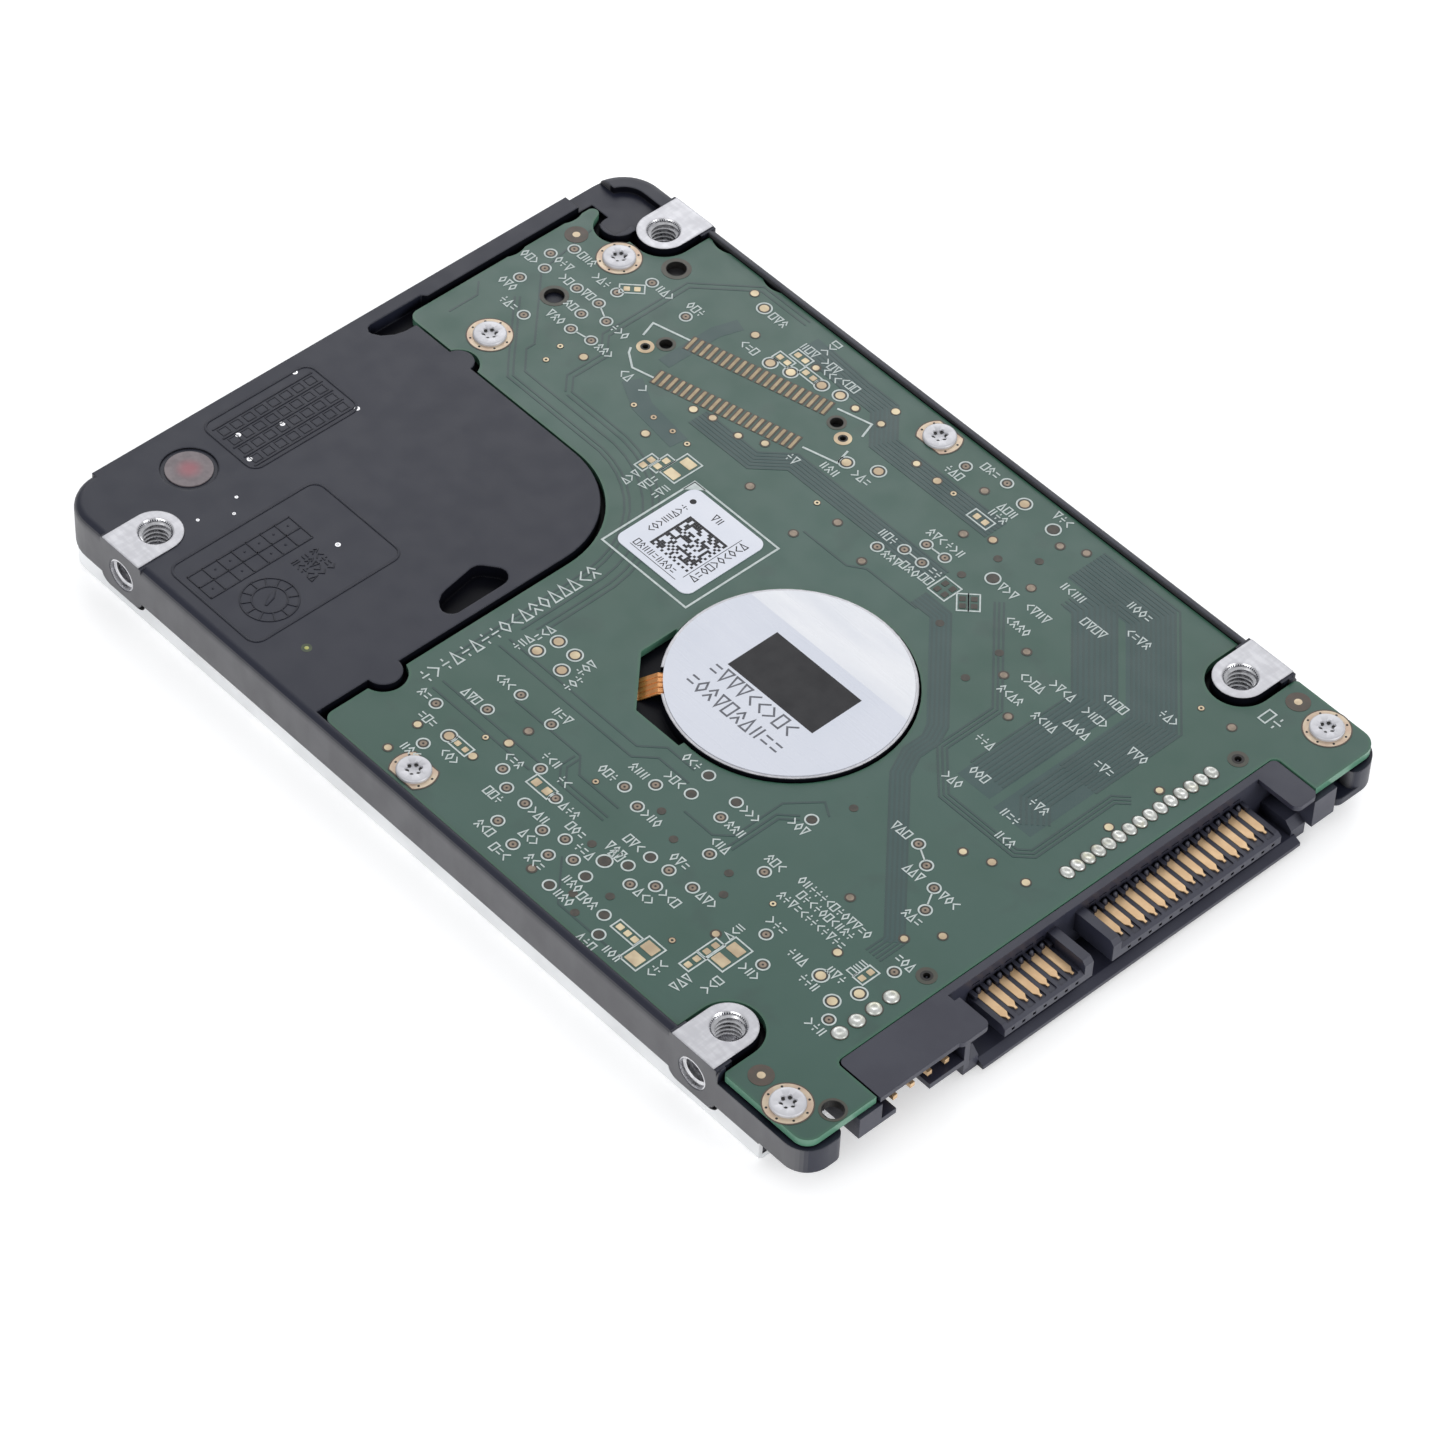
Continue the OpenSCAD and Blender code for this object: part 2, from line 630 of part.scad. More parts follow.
module sata_housing() color([0.12, 0.13, 0.18]) difference() {
    union() {
        housing_frame();
        tongue(signal_y[0] - 1, signal_y[signal_contacts - 1] + 1.87, signal_y[signal_contacts - 1] + 0.87);
        tongue(power_y[0] - 2.07, power_y[power_contacts - 1] + 1, power_y[0] - 2.07);
    }
    for (y = contact_y) contact_tail(y, 0.02);
    for (y = contact_y) contact_groove(y);
    for (y = jumper_y) jumper_pin(y, 0.02);
    // Small openings in the tongue's mating face, one under each contact
    for (y = contact_y) block([mating_x - 0.3, mating_x + 1], [y - 0.18, y + 0.18], [3.55, 3.85]);
}

// The contacts that mate first are longer
function long_contact(i) = i < signal_contacts
    ? i % 3 == 0
    : len([for (k = [3, 4, 5, 6, 7, 10, 12, 13]) if (k == i - signal_contacts + 1) k]) > 0;

// Power tails pass through the board, and signal tails are soldered to its underside
module contact_tail(y, grow = 0) {
    half = 0.2 + grow;
    tail_top_z = y > 0 ? board_top_z + 0.1 : board_z - 0.02;
    block([44.9 - grow, 45.3 + eps], [y - half, y + half], [tongue_z[1] - 0.1 - grow, 5.3 + grow]);
    block([tail_x - 0.2 - grow, 45.3], [y - half, y + half], [5.1 - grow, 5.3 + grow]);
    block([tail_x - 0.2 - grow, tail_x + 0.2 + grow], [y - half, y + half], [5.1, tail_top_z]);
}

module sata_contacts() color([0.85, 0.68, 0.38]) for (i = [0:len(contact_y) - 1]) {
    y = contact_y[i];
    contact_tail(y);
    tip_x = long_contact(i) ? 49.55 : 49.15;
    slab(tongue_z[1] - 0.1, tongue_z[1] + 0.03)
        polygon([[44.9, y - 0.2], [45.5, y - 0.2], [45.8, y - 0.39], [tip_x - 0.7, y - 0.39],
            [tip_x - 0.3, y - 0.12], [tip_x, y - 0.12], [tip_x, y + 0.12], [tip_x - 0.3, y + 0.12],
            [tip_x - 0.7, y + 0.39], [45.8, y + 0.39], [45.5, y + 0.2], [44.9, y + 0.2]]);
}

module jumper_pin(y, grow = 0) {
    half = 0.25 + grow;
    block([tail_x + 0.05 - grow, 49.4], [y - half, y + half], [jumper_z - half, jumper_z + half]);
    block([tail_x + 0.05 - grow, tail_x + 0.55 + grow], [y - half, y + half], [jumper_z - half, board_top_z + 0.1]);
}

module jumper_pins() color([0.85, 0.68, 0.38]) for (y = jumper_y) jumper_pin(y);

// ---------- spindle motor ----------

module motor_label() color([0.82, 0.84, 0.87]) at_spindle() disc(11.2, motor_face_z, motor_face_z + 0.08);

module spindle_sleeve() color([0.75, 0.65, 0.4]) at_spindle() difference() {
    disc(sleeve_r, 2.15, motor_face_z);
    disc(shaft_bore_r, 2, 6.3);
    disc(2.3, 6.3 - eps, motor_face_z + 1);
}

module thrust_plate() color([0.7, 0.7, 0.72]) at_spindle() disc(2.3, 6.3, motor_face_z);

module stator_core() color([0.45, 0.45, 0.47]) at_spindle() slab(4.75, 5.35) {
    difference() {
        circle(5.6);
        circle(4.2);
    }
    for (i = [0:stator_teeth - 1]) rotate(360 / stator_teeth * i) {
        span(5.3, -0.6, 8.9, 0.6);
        ring_sector(8.5, 9.3, -14, 14);
    }
}

module stator_coils() color([0.72, 0.4, 0.18]) at_spindle()
    for (i = [0:stator_teeth - 1]) rotate([0, 0, 360 / stator_teeth * i]) difference() {
        block([5.9, 8.3], [-1.3, 1.3], [4.45, 5.75]);
        block([5, 9], [-0.62, 0.62], [4.73, 5.37]);
    }

// Flat strip that rises between the stator and the rotor, leaves through the slot in the motor
// boss and slopes down to the board, drawn as distance from the spindle against height
module lead_strip(half_width, lift, end_r) rotate([90, 0, 0]) translate([0, 0, -half_width])
    linear_extrude(2 * half_width) polygon([[8.95, 5.38], [9.1, 5.38], [9.1, 6.35 + lift], [11.6, 6.35 + lift],
        [13.3, 5.52 + lift], [end_r, 5.52 + lift], [end_r, 5.6 + lift], [13.35, 5.6 + lift],
        [11.65, 6.45 + lift], [8.95, 6.45 + lift]]);

module motor_leads() color([0.75, 0.42, 0.16]) at_spindle() rotate([0, 0, lead_angle]) {
    lead_strip(1.3, 0, 14.1);
    for (i = [-1.5:1.5]) translate([0, i * 0.62, 0]) lead_strip(0.17, 0.06, 13.9);
}

module hub() color([0.8, 0.8, 0.82]) at_spindle() rotate_extrude() polygon([[shaft_r, 1.6], [9.9, 1.6],
    [9.9, disk_top_z], [12, disk_top_z], [12, 4.2], [3.4, 4.2], [3.4, 2.05], [shaft_r, 2.05]]);

module spindle_shaft() color([0.75, 0.76, 0.78]) at_spindle() disc(shaft_r, 1.3, 6.2);

module rotor_magnet() color([0.2, 0.2, 0.22]) at_spindle() ring(10.4, 9.55, 4.2, 5.8);

module back_iron() color([0.55, 0.56, 0.58]) at_spindle() ring(10.75, 10.4, 4.2, 6.1);

module disk_platter() color([0.75, 0.77, 0.8]) at_spindle() ring(disk_r, disk_bore_r, disk_z, disk_top_z);

module disk_clamp() color([0.7, 0.71, 0.74]) at_spindle() difference() {
    rotate_extrude() polygon([[2.4, 1.2], [10.6, 1.2], [11.4, 2], [11.4, disk_z], [10.4, disk_z],
        [10.4, 2.2], [10, 1.6], [2.4, 1.6]]);
    for (a = [0:60:300]) rotate([0, 0, a]) translate([6.5, 0]) slab(1, 2) circle(0.65);
}

module clamp_screws() color([0.6, 0.61, 0.63]) at_spindle() for (a = [0:60:300]) rotate([0, 0, a])
    translate([6.5, 0]) slab(0.85, 1.2) difference() {
        circle(1.15);
        circle(0.45, $fn = 6);
    }

// ---------- actuator ----------

module pivot_shaft() color([0.75, 0.76, 0.78]) at_pivot() {
    slab(cover_thickness, magnet_roof_z + 0.4) circle(2);
    slab(cover_thickness, 1.5) circle(3.4);
}

module pivot_balls() color([0.85, 0.86, 0.88]) at_pivot() for (z = [2.5, 4], i = [0:8])
    rotate([0, 0, 40 * i]) translate([2.8, 0, z]) sphere(0.76, $fn = 24);

module pivot_sleeve() color([0.65, 0.66, 0.68]) at_pivot() ring(pivot_bore_r, 3.6, 1.7, 4.8);

module arm_plate_outline() difference() {
    polygon([[0, -6.2], [5, -5.4], [26.5, -2], [26.5, 2], [5, 5.4], [0, 6.2]]);
    circle(pivot_bore_r);
    translate([12.5, 0]) circle(2);
    translate([17.5, 0]) circle(1.4);
}

module actuator_arm() color([0.78, 0.78, 0.8]) at_pivot(parked_angle) {
    ring(arm_hub_r, pivot_bore_r, 1.7, 4.8);
    for (z = arm_z) slab(z[0], z[1]) arm_plate_outline();
}

module coil_window() ring_sector(coil_r[0] + 2.2, coil_r[1] - 2.2, -coil_half_angle / 2, coil_half_angle / 2);

module voice_coil() color([0.75, 0.42, 0.18]) at_pivot(coil_angle) slab(coil_z[0], coil_z[1]) difference() {
    ring_sector(coil_r[0], coil_r[1], -coil_half_angle, coil_half_angle);
    coil_window();
}

module coil_overmould() color([0.15, 0.15, 0.16]) at_pivot(coil_angle) {
    slab(coil_z[0] + 0.05, coil_z[1] - 0.05) difference() {
        ring_sector(arm_hub_r, coil_r[1] + 0.5, -coil_half_angle - 2.2, coil_half_angle + 2.2);
        ring_sector(coil_r[0], coil_r[1], -coil_half_angle, coil_half_angle);
    }
    slab(coil_z[0] + 0.05, coil_z[1] - 0.05) ring_sector(coil_r[1] + 0.4, coil_r[1] + 1.4, 21, 22.2);
}

module suspensions() color([0.7, 0.71, 0.73]) at_pivot(parked_angle) for (z = beam_z) slab(z[0], z[1])
    difference() {
        polygon([[23.5, -1.7], [27, -1.7], [33, -0.9], [35, -0.3], [37.6, -0.3], [37.6, 0.3], [35, 0.3],
            [33, 0.9], [27, 1.7], [23.5, 1.7]]);
        translate([25, 0]) circle(0.7);
    }

module read_heads() color([0.25, 0.25, 0.28]) at_pivot(parked_angle) for (z = slider_z)
    slab(z[0], z[1]) translate([head_reach, 0]) square([1.25, 1], center = true);

module preamp_chip() color([0.3, 0.25, 0.15]) at_pivot(parked_angle) slab(2.75, 4.1)
    ring_sector(arm_hub_r, arm_hub_r + 0.5, 62, 84);

module flex_cable() color([0.7, 0.42, 0.15]) translate([flex_loop[0], flex_loop[1], 0]) rotate([0, 0, -41.5])
    rotate_extrude(angle = 180) translate([flex_loop_r, 2.4]) square([0.12, 1.8]);

module flex_bracket() color([0.2, 0.2, 0.22]) difference() {
    union() {
        block([-44.6, -40.75], [-4.4, -2.2], [2.2, arm_roof_z]);
        block([-44.6, -40.75], [-2.2 - eps, 2.2], [4, arm_roof_z]);
    }
    translate([-42.6, 0.4]) slab(3, 6) circle(0.75);
}

module bracket_screw() color([0.6, 0.6, 0.62]) translate([-42.6, 0.4, 0]) {
    slab(3.5, 4) circle(1.3);
    slab(4 - eps, 5.2) circle(0.68);
}

// Yokes and magnets of the voice coil motor
module yoke_plate(z0, z1) at_pivot() slab(z0, z1) difference() {
    union() {
        ring_sector(yoke_r[0], yoke_r[1], 192, 278);
        for (a = spacer_angles) rotate(a) translate([spacer_reach, 0]) circle(2.4);
        for (a = [[187, 194], [276, 285]]) ring_sector(11.8, 16.2, a[0], a[1]);
    }
    for (a = spacer_angles) rotate(a) translate([spacer_reach, 0]) circle(0.75);
}

module magnet_pair(z0, z1) at_pivot() slab(z0, z1) {
    ring_sector(8.5, 16.8, 200, 234.8);
    ring_sector(8.5, 16.8, 235.2, 270);
}

module board_side_yoke() color([0.6, 0.61, 0.63]) yoke_plate(5.2, magnet_roof_z);
module board_side_magnets() color([0.72, 0.73, 0.76]) magnet_pair(4.3, 5.2);
module cover_side_yoke() color([0.6, 0.61, 0.63]) yoke_plate(0.7, 1.6);
module cover_side_magnets() color([0.72, 0.73, 0.76]) magnet_pair(1.6, 2.5);

module yoke_spacers() color([0.62, 0.63, 0.65]) for (a = spacer_angles) at_pivot(a) translate([spacer_reach, 0, 0])
    ring(spacer_r, 0.75, 1.6, 5.2);

module yoke_screws() color([0.5, 0.5, 0.53]) for (a = spacer_angles) at_pivot(a) translate([spacer_reach, 0, 0])
    slab(0.8, 6.5) circle(0.68);

module crash_stop(a) color([0.12, 0.12, 0.12]) at_pivot(a) translate([spacer_reach, 0, 0])
    ring(spacer_r + 0.4, spacer_r, 2.9, 3.9);

module inner_crash_stop() crash_stop(spacer_angles[0]);
module outer_crash_stop() crash_stop(spacer_angles[1]);

module parking_ramp() color([0.9, 0.88, 0.8]) difference() {
    at_pivot() {
        slab(2.67, 4.13) ring_sector(ramp_r[0], ramp_r[1], ramp_angles[0], ramp_angles[1]);
        slab(2, arm_roof_z) ring_sector(ramp_r[1] - eps, 45.5, 70, ramp_angles[1]);
    }
    at_spindle() slab(disk_z - 0.13, disk_top_z + 0.13) circle(disk_r + 0.5);
    at_pivot(73) translate([43.4, 0]) slab(1, 6) circle(0.75);
}

module ramp_screw() color([0.6, 0.6, 0.62]) at_pivot(73) translate([43.4, 0, 0]) {
    slab(1.5, 2) circle(1.3);
    slab(2 - eps, 5.2) circle(0.68);
}

// ---------- filters and latch ----------

module recirculation_filter() color([0.93, 0.93, 0.9]) translate([-13.6, -27.2, 0]) rotate([0, 0, 48.8])
    block([-0.8, 0.8], [-2.8, 2.8], [1, arm_roof_z - 0.1]);

module breather_filter() color([0.2, 0.2, 0.2]) block([-47.4, -44.1], [-27.5, -21.4], [3, arm_roof_z]);

module breather_seal() color([0.45, 0.43, 0.43]) translate([breather[0], breather[1], 0])
    slab(plateau_z - 0.15, plateau_z - 0.02) circle(2.25);

module latch_pin() color([0.7, 0.7, 0.72]) translate([latch_pivot[0], latch_pivot[1], 0]) {
    slab(cover_thickness, 1.8) circle(1.5);
    slab(1.8 - eps, magnet_roof_z + 0.2) circle(0.78);
}

module latch_lever() color([0.85, 0.83, 0.75]) translate([latch_pivot[0], latch_pivot[1], 0]) difference() {
    union() {
        slab(2.9, 3.9) circle(1.7);
        slab(2.9, 3.9) polygon([[0.3, 1.1], [0, -1.4], [-7.6, -4.2], [-8.6, -4], [-8.6, -2.5], [-8, -2.5],
            [-7.4, -3.2]]);
        slab(2.9, 3.9) polygon([[-0.9, -1.1], [1.1, -1.1], [4.2, 2], [2.8, 3.9], [-0.7, 1.2]]);
    }
    slab(2, 5) circle(0.83);
}

base_casting();
top_cover();
cover_gasket();
cover_screws();
cover_label();
circuit_board();
board_screws();
insulator_sheet();
controller_chip();
memory_chip();
motor_driver_chip();
flash_chip();
small_components();
sata_housing();
sata_contacts();
jumper_pins();
motor_label();
spindle_sleeve();
thrust_plate();
stator_core();
stator_coils();
motor_leads();
pivot_shaft();
pivot_balls();
board_side_yoke();
board_side_magnets();
cover_side_yoke();
cover_side_magnets();
yoke_spacers();
yoke_screws();
parking_ramp();
ramp_screw();
inner_crash_stop();
outer_crash_stop();
flex_bracket();
flex_cable();
bracket_screw();
interconnect_header();
recirculation_filter();
breather_filter();
breather_seal();
latch_pin();
board_sticker();
hub();
spindle_shaft();
rotor_magnet();
back_iron();
disk_platter();
disk_clamp();
clamp_screws();
actuator_arm();
pivot_sleeve();
voice_coil();
coil_overmould();
suspensions();
read_heads();
preamp_chip();
latch_lever();
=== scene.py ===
"""A 2.5 inch hard disk drive lying on its cover, with its circuit board up."""
import json
import random
from math import cos, exp, radians, sin, tau

import bmesh
import bpy
from mathutils import Matrix, Vector


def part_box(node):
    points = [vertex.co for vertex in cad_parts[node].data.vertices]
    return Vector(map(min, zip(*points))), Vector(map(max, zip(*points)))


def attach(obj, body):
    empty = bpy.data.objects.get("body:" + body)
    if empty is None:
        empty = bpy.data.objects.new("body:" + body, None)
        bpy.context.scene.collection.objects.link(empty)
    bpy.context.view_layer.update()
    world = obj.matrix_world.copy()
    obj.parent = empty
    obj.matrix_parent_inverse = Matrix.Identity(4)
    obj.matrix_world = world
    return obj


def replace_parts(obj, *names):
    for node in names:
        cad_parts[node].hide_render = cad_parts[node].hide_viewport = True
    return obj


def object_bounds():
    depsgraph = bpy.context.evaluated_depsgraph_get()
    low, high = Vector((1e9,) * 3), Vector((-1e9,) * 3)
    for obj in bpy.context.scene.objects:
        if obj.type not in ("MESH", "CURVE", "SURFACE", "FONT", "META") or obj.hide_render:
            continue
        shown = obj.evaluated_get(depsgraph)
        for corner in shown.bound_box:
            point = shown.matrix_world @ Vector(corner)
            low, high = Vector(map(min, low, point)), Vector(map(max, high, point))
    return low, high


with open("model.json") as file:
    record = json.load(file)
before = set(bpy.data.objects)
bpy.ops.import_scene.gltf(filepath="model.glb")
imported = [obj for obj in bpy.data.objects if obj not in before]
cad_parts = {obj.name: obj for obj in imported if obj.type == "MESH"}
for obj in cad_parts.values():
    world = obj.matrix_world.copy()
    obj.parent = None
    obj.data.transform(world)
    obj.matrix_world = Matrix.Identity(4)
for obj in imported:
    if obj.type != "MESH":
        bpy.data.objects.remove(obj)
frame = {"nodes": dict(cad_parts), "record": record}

MM = 0.001
CAD_BOX = [list(corner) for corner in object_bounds()]
chance = random.Random(7)


# ---------- sizes that come from the frame, in millimetres ----------

def box_mm(node):
    """Lowest and highest corner of a CAD node."""
    low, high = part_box(node)
    return low / MM, high / MM


def middle(low, high):
    return tuple(((low + high) / 2)[:2])


def solids(node):
    """Lowest and highest corner of each separate solid of a CAD node, in order along X, then Y."""
    bm = bmesh.new()
    bm.from_mesh(frame["nodes"][node].data)
    bmesh.ops.remove_doubles(bm, verts=bm.verts, dist=1e-7)
    seen, found = set(), []
    for first in bm.verts:
        if first in seen:
            continue
        seen.add(first)
        island, waiting = [], [first]
        while waiting:
            vert = waiting.pop()
            island.append(vert.co / MM)
            for edge in vert.link_edges:
                other = edge.other_vert(vert)
                if other not in seen:
                    seen.add(other)
                    waiting.append(other)
        found.append(tuple(Vector([pick(c[i] for c in island) for i in range(3)]) for pick in (min, max)))
    bm.free()
    return sorted(found, key=lambda b: (round(b[0].x, 1), round(b[0].y, 1)))


BOARD_LOW, BOARD_TOP = (corner.z for corner in box_mm("circuit_board"))
CASE_HIGH = box_mm("base_casting")[1]
PLATEAU_TOP = CASE_HIGH.z - 0.1
LABEL_LOW, LABEL_HIGH = box_mm("motor_label")
LABEL_R = (LABEL_HIGH.x - LABEL_LOW.x) / 2
SPINDLE = middle(LABEL_LOW, LABEL_HIGH)
STICKER_LOW, STICKER_HIGH = box_mm("board_sticker")
CONTACTS = solids("sata_contacts")
JUMPERS = solids("jumper_pins")
MOUNTS = {mount["name"]: mount for mount in frame["record"]["mounts"]}
HOLES = MOUNTS["bottom_holes"]["dims"]
HOLE_R = HOLES["hole_r_mm"]
HOLE_X = [MOUNTS["bottom_holes"]["pos_m"][0] / MM + s * HOLES["spacing_x_mm"] / 2 for s in (-1, 1)]
HOLE_Y = HOLES["spacing_y_mm"] / 2
SIDE_HOLE_Z = MOUNTS["near_side_holes"]["pos_m"][2] / MM

# Where the thin layers on the board start and end, over its top face
SUNK = -0.02
POUR = 0.004
TRACE = 0.02
BARE = 0.03
PAD = 0.036
PRINT = 0.042
# From one to the next of the layers of a kind that cross
LAYER_STEP = 0.002
# Thickness of print on a label, and how far it reaches down into it
INK = 0.006
INK_SUNK = 0.02


def layer(height, more=0.0):
    """Where a thin layer on the board starts and ends."""
    return BOARD_TOP + SUNK, BOARD_TOP + height + more


# ---------- camera, light and floor ----------

def add_to_scene(name, data):
    obj = bpy.data.objects.new(name, data)
    bpy.context.scene.collection.objects.link(obj)
    return obj


def add_camera():
    """Looks down at the board from beyond the connector's near corner."""
    azimuth, elevation, roll = (radians(a) for a in (45.49, 47.27, 2.83))
    place = (0.26393, -0.25732, 0.39224)
    back = Vector((sin(azimuth) * cos(elevation), -cos(azimuth) * cos(elevation), sin(elevation)))
    level = Vector((cos(azimuth), sin(azimuth), 0))
    right = level * cos(roll) + back.cross(level) * sin(roll)
    camera = add_to_scene("camera", bpy.data.cameras.new("camera"))
    camera.data.lens = 148.69
    camera.matrix_world = Matrix((*zip(right, back.cross(right), back, place), (0, 0, 0, 1)))
    bpy.context.scene.camera = camera


def add_softbox(name, place, size, power):
    """A lamp that looks at the drive."""
    light = bpy.data.lights.new(name, "AREA")
    light.shape = "RECTANGLE"
    light.size, light.size_y = size
    light.energy = power
    obj = add_to_scene(name, light)
    obj.location = place
    obj.rotation_euler = Vector(place).to_track_quat("Z", "Y").to_euler()


def add_studio():
    scene = bpy.context.scene
    scene.view_settings.view_transform = "Standard"
    scene.world = bpy.data.worlds.new("studio")
    scene.world.use_nodes = True
    sky = scene.world.node_tree.nodes["Background"]
    sky.inputs["Color"].default_value = (0.97, 0.98, 1, 1)
    sky.inputs["Strength"].default_value = 0.58
    add_softbox("far_softbox", (-0.5, 0.5, 0.42), (0.7, 0.5), 2.3)
    add_softbox("front_softbox", (0.15, -0.7, 0.5), (0.6, 0.4), 1.9)
    add_softbox("side_softbox", (0.75, 0.15, 0.35), (0.4, 0.4), 2.8)


def add_floor():
    """Pale paper just under the drive, which glows a little so that it stays even."""
    size, gap = 3.0, 0.00002
    m = Material("floor_paper", (0.96, 0.96, 0.96), 0.75, specular=0.2)
    m.put("Emission Color", (1, 1, 1))
    m.put("Emission Strength", 0.3)
    m.mottle((0.975, 0.975, 0.975), 60)
    mesh = bpy.data.meshes.new("floor")
    corners = [(x * size, y * size, 0) for x, y in ((-1, -1), (1, -1), (1, 1), (-1, 1))]
    mesh.from_pydata(corners, [], [(0, 1, 2, 3)])
    mesh.materials.append(m.data)
    floor = add_to_scene("floor", mesh)
    floor.location.z = CAD_BOX[0][2] - gap


# ---------- materials ----------

# Every material by its name
FINISHES = {}


class Material:
    """A Principled material and short ways to add nodes to it, in the object's own coordinates."""

    def __init__(self, name, colour, rough=0.5, metal=0.0, coat=0.0, coat_rough=0.1, specular=0.5):
        self.data = FINISHES[name] = bpy.data.materials.new(name)
        self.data.use_nodes = True
        self.data.diffuse_color = (*colour, 1)
        self.tree = self.data.node_tree
        self.shader = self.tree.nodes["Principled BSDF"]
        self.place = self.tree.nodes.new("ShaderNodeTexCoord").outputs["Object"]
        for socket, value in (("Base Color", colour), ("Roughness", rough), ("Metallic", metal),
                              ("Coat Weight", coat), ("Coat Roughness", coat_rough),
                              ("Specular IOR Level", specular)):
            self.put(socket, value)

    def put(self, socket, value):
        """Links or sets a socket, or the shader's own socket of that name."""
        if isinstance(socket, str):
            socket = self.shader.inputs[socket]
        if isinstance(value, bpy.types.NodeSocket):
            self.tree.links.new(value, socket)
        elif hasattr(socket.default_value, "__len__"):
            socket.default_value = (*value, 1)[:len(socket.default_value)]
        else:
            socket.default_value = value

    def node(self, kind, settings=(), **sockets):
        """A node with its settings and its sockets by name, or i0, i1 and so on by number."""
        node = self.tree.nodes.new("ShaderNode" + kind)
        for key, value in dict(settings).items():
            setattr(node, key, value)
        for key, value in sockets.items():
            index = int(key[1:]) if key[0] == "i" and key[1:].isdigit() else key.replace("_", " ")
            self.put(node.inputs[index], value)
        return node

    def math(self, operation, a, b=0.0, c=0.0):
        return self.node("Math", {"operation": operation}, i0=a, i1=b, i2=c).outputs[0]

    def times(self, first, *others):
        for other in others:
            first = self.math("MULTIPLY", first, other)
        return first

    def over(self, value, limit):
        return self.math("GREATER_THAN", value, limit)

    def under(self, value, limit):
        return self.math("LESS_THAN", value, limit)

    def blend(self, amount, a, b):
        """Colour a where amount is 0, and b where it is 1."""
        return self.node("Mix", {"data_type": "RGBA"}, i0=amount, i6=a, i7=b).outputs[2]

    def spread(self, value, low, high, to_low=0.0, to_high=1.0):
        """A value between low and high, stretched smoothly over another range."""
        return self.node("MapRange", {"interpolation_type": "SMOOTHSTEP"}, Value=value, From_Min=low,
                         From_Max=high, To_Min=to_low, To_Max=to_high).outputs[0]

    def noise(self, size, detail=3.0, stretch=None):
        """Noise whose patches are about size millimetres across."""
        place = self.place
        if stretch:
            place = self.node("VectorMath", {"operation": "MULTIPLY"}, i0=place, i1=stretch).outputs[0]
        return self.node("TexNoise", Vector=place, Scale=1 / (size * MM), Detail=detail).outputs["Fac"]

    def specks(self, spacing, radius, amount):
        """Dots about so many millimetres apart, which fade from their middles."""
        cells = self.node("TexVoronoi", Vector=self.place, Scale=1 / (spacing * MM)).outputs["Distance"]
        return self.spread(cells, 0.0, radius, amount, 0)

    def axis(self, name):
        """The place along one axis, in millimetres."""
        return self.math("DIVIDE", self.node("SeparateXYZ", Vector=self.place).outputs[name], MM)

    def distance_from(self, centre):
        """Distance from an upright axis, in millimetres."""
        offsets = [self.math("SUBTRACT", self.axis(name), at) for name, at in zip("XY", centre)]
        return self.math("SQRT", self.math("ADD", *(self.times(offset, offset) for offset in offsets)))

    def facing(self, name):
        """1 on a face that looks along an axis, and 0 on one that lies along it."""
        normal = self.node("NewGeometry").outputs["True Normal"]
        return self.math("ABSOLUTE", self.node("SeparateXYZ", Vector=normal).outputs[name])

    def edge(self, radius):
        """1 close to an edge, and 0 further in than the radius."""
        bevel = self.node("Bevel", {"samples": 6}, Radius=radius * MM).outputs[0]
        flat = self.node("NewGeometry").outputs["True Normal"]
        dot = self.node("VectorMath", {"operation": "DOT_PRODUCT"}, i0=bevel, i1=flat).outputs["Value"]
        return self.spread(self.math("SUBTRACT", 1.0, dot), 0.01, 0.12)

    def now(self):
        """The colour as it is so far."""
        socket = self.shader.inputs["Base Color"]
        return socket.links[0].from_socket if socket.links else tuple(socket.default_value)[:3]

    def drift(self, size, a, b, low=0.35, high=0.65, *noise_look):
        """Wanders from one colour to another over patches of a size."""
        return self.blend(self.spread(self.noise(size, *noise_look), low, high), a, b)

    def mottle(self, other, size, amount=1.0, low=0.35, high=0.65):
        """Drifts the colour so far towards another over patches of a size."""
        patches = self.spread(self.noise(size), low, high, 0, amount)
        self.put("Base Color", self.blend(patches, self.now(), other))

    def uneven(self, size, low, high, stretch=None):
        """Lets the roughness wander between two values."""
        self.put("Roughness", self.spread(self.noise(size, 4.0, stretch), 0.3, 0.7, low, high))

    def relief(self, height, depth, rounding=0.0):
        """Surface relief, depth in micrometres, and edges that catch the light as if rounded."""
        bump = self.node("Bump", Height=height, Strength=1.0, Distance=depth * 1e-6)
        if rounding:
            bevel = self.node("Bevel", {"samples": 4}, Radius=rounding * MM)
            self.put(bump.inputs["Normal"], bevel.outputs[0])
        self.put("Normal", bump.outputs[0])

    def grain(self, size, depth, stretch=None, rounding=0.0, detail=3.0):
        self.relief(self.noise(size, detail, stretch), depth, rounding)

    def paint_gap_shade(self, distance, colour, specular=0.5, extra_shade=0.0):
        """Paints shade into gaps that ambient occlusion finds, as a darker colour with less shine, and as
        well where the extra amount given is above 0.
        """
        room = self.node("AmbientOcclusion", {"samples": 6}, Distance=distance * MM).outputs["AO"]
        gap = self.math("MAXIMUM", self.spread(room, 0.25, 0.8, 1, 0), extra_shade)
        self.put("Base Color", self.blend(gap, self.now(), colour))
        self.put("Specular IOR Level", self.math("MULTIPLY_ADD", gap, 0.04 - specular, specular))


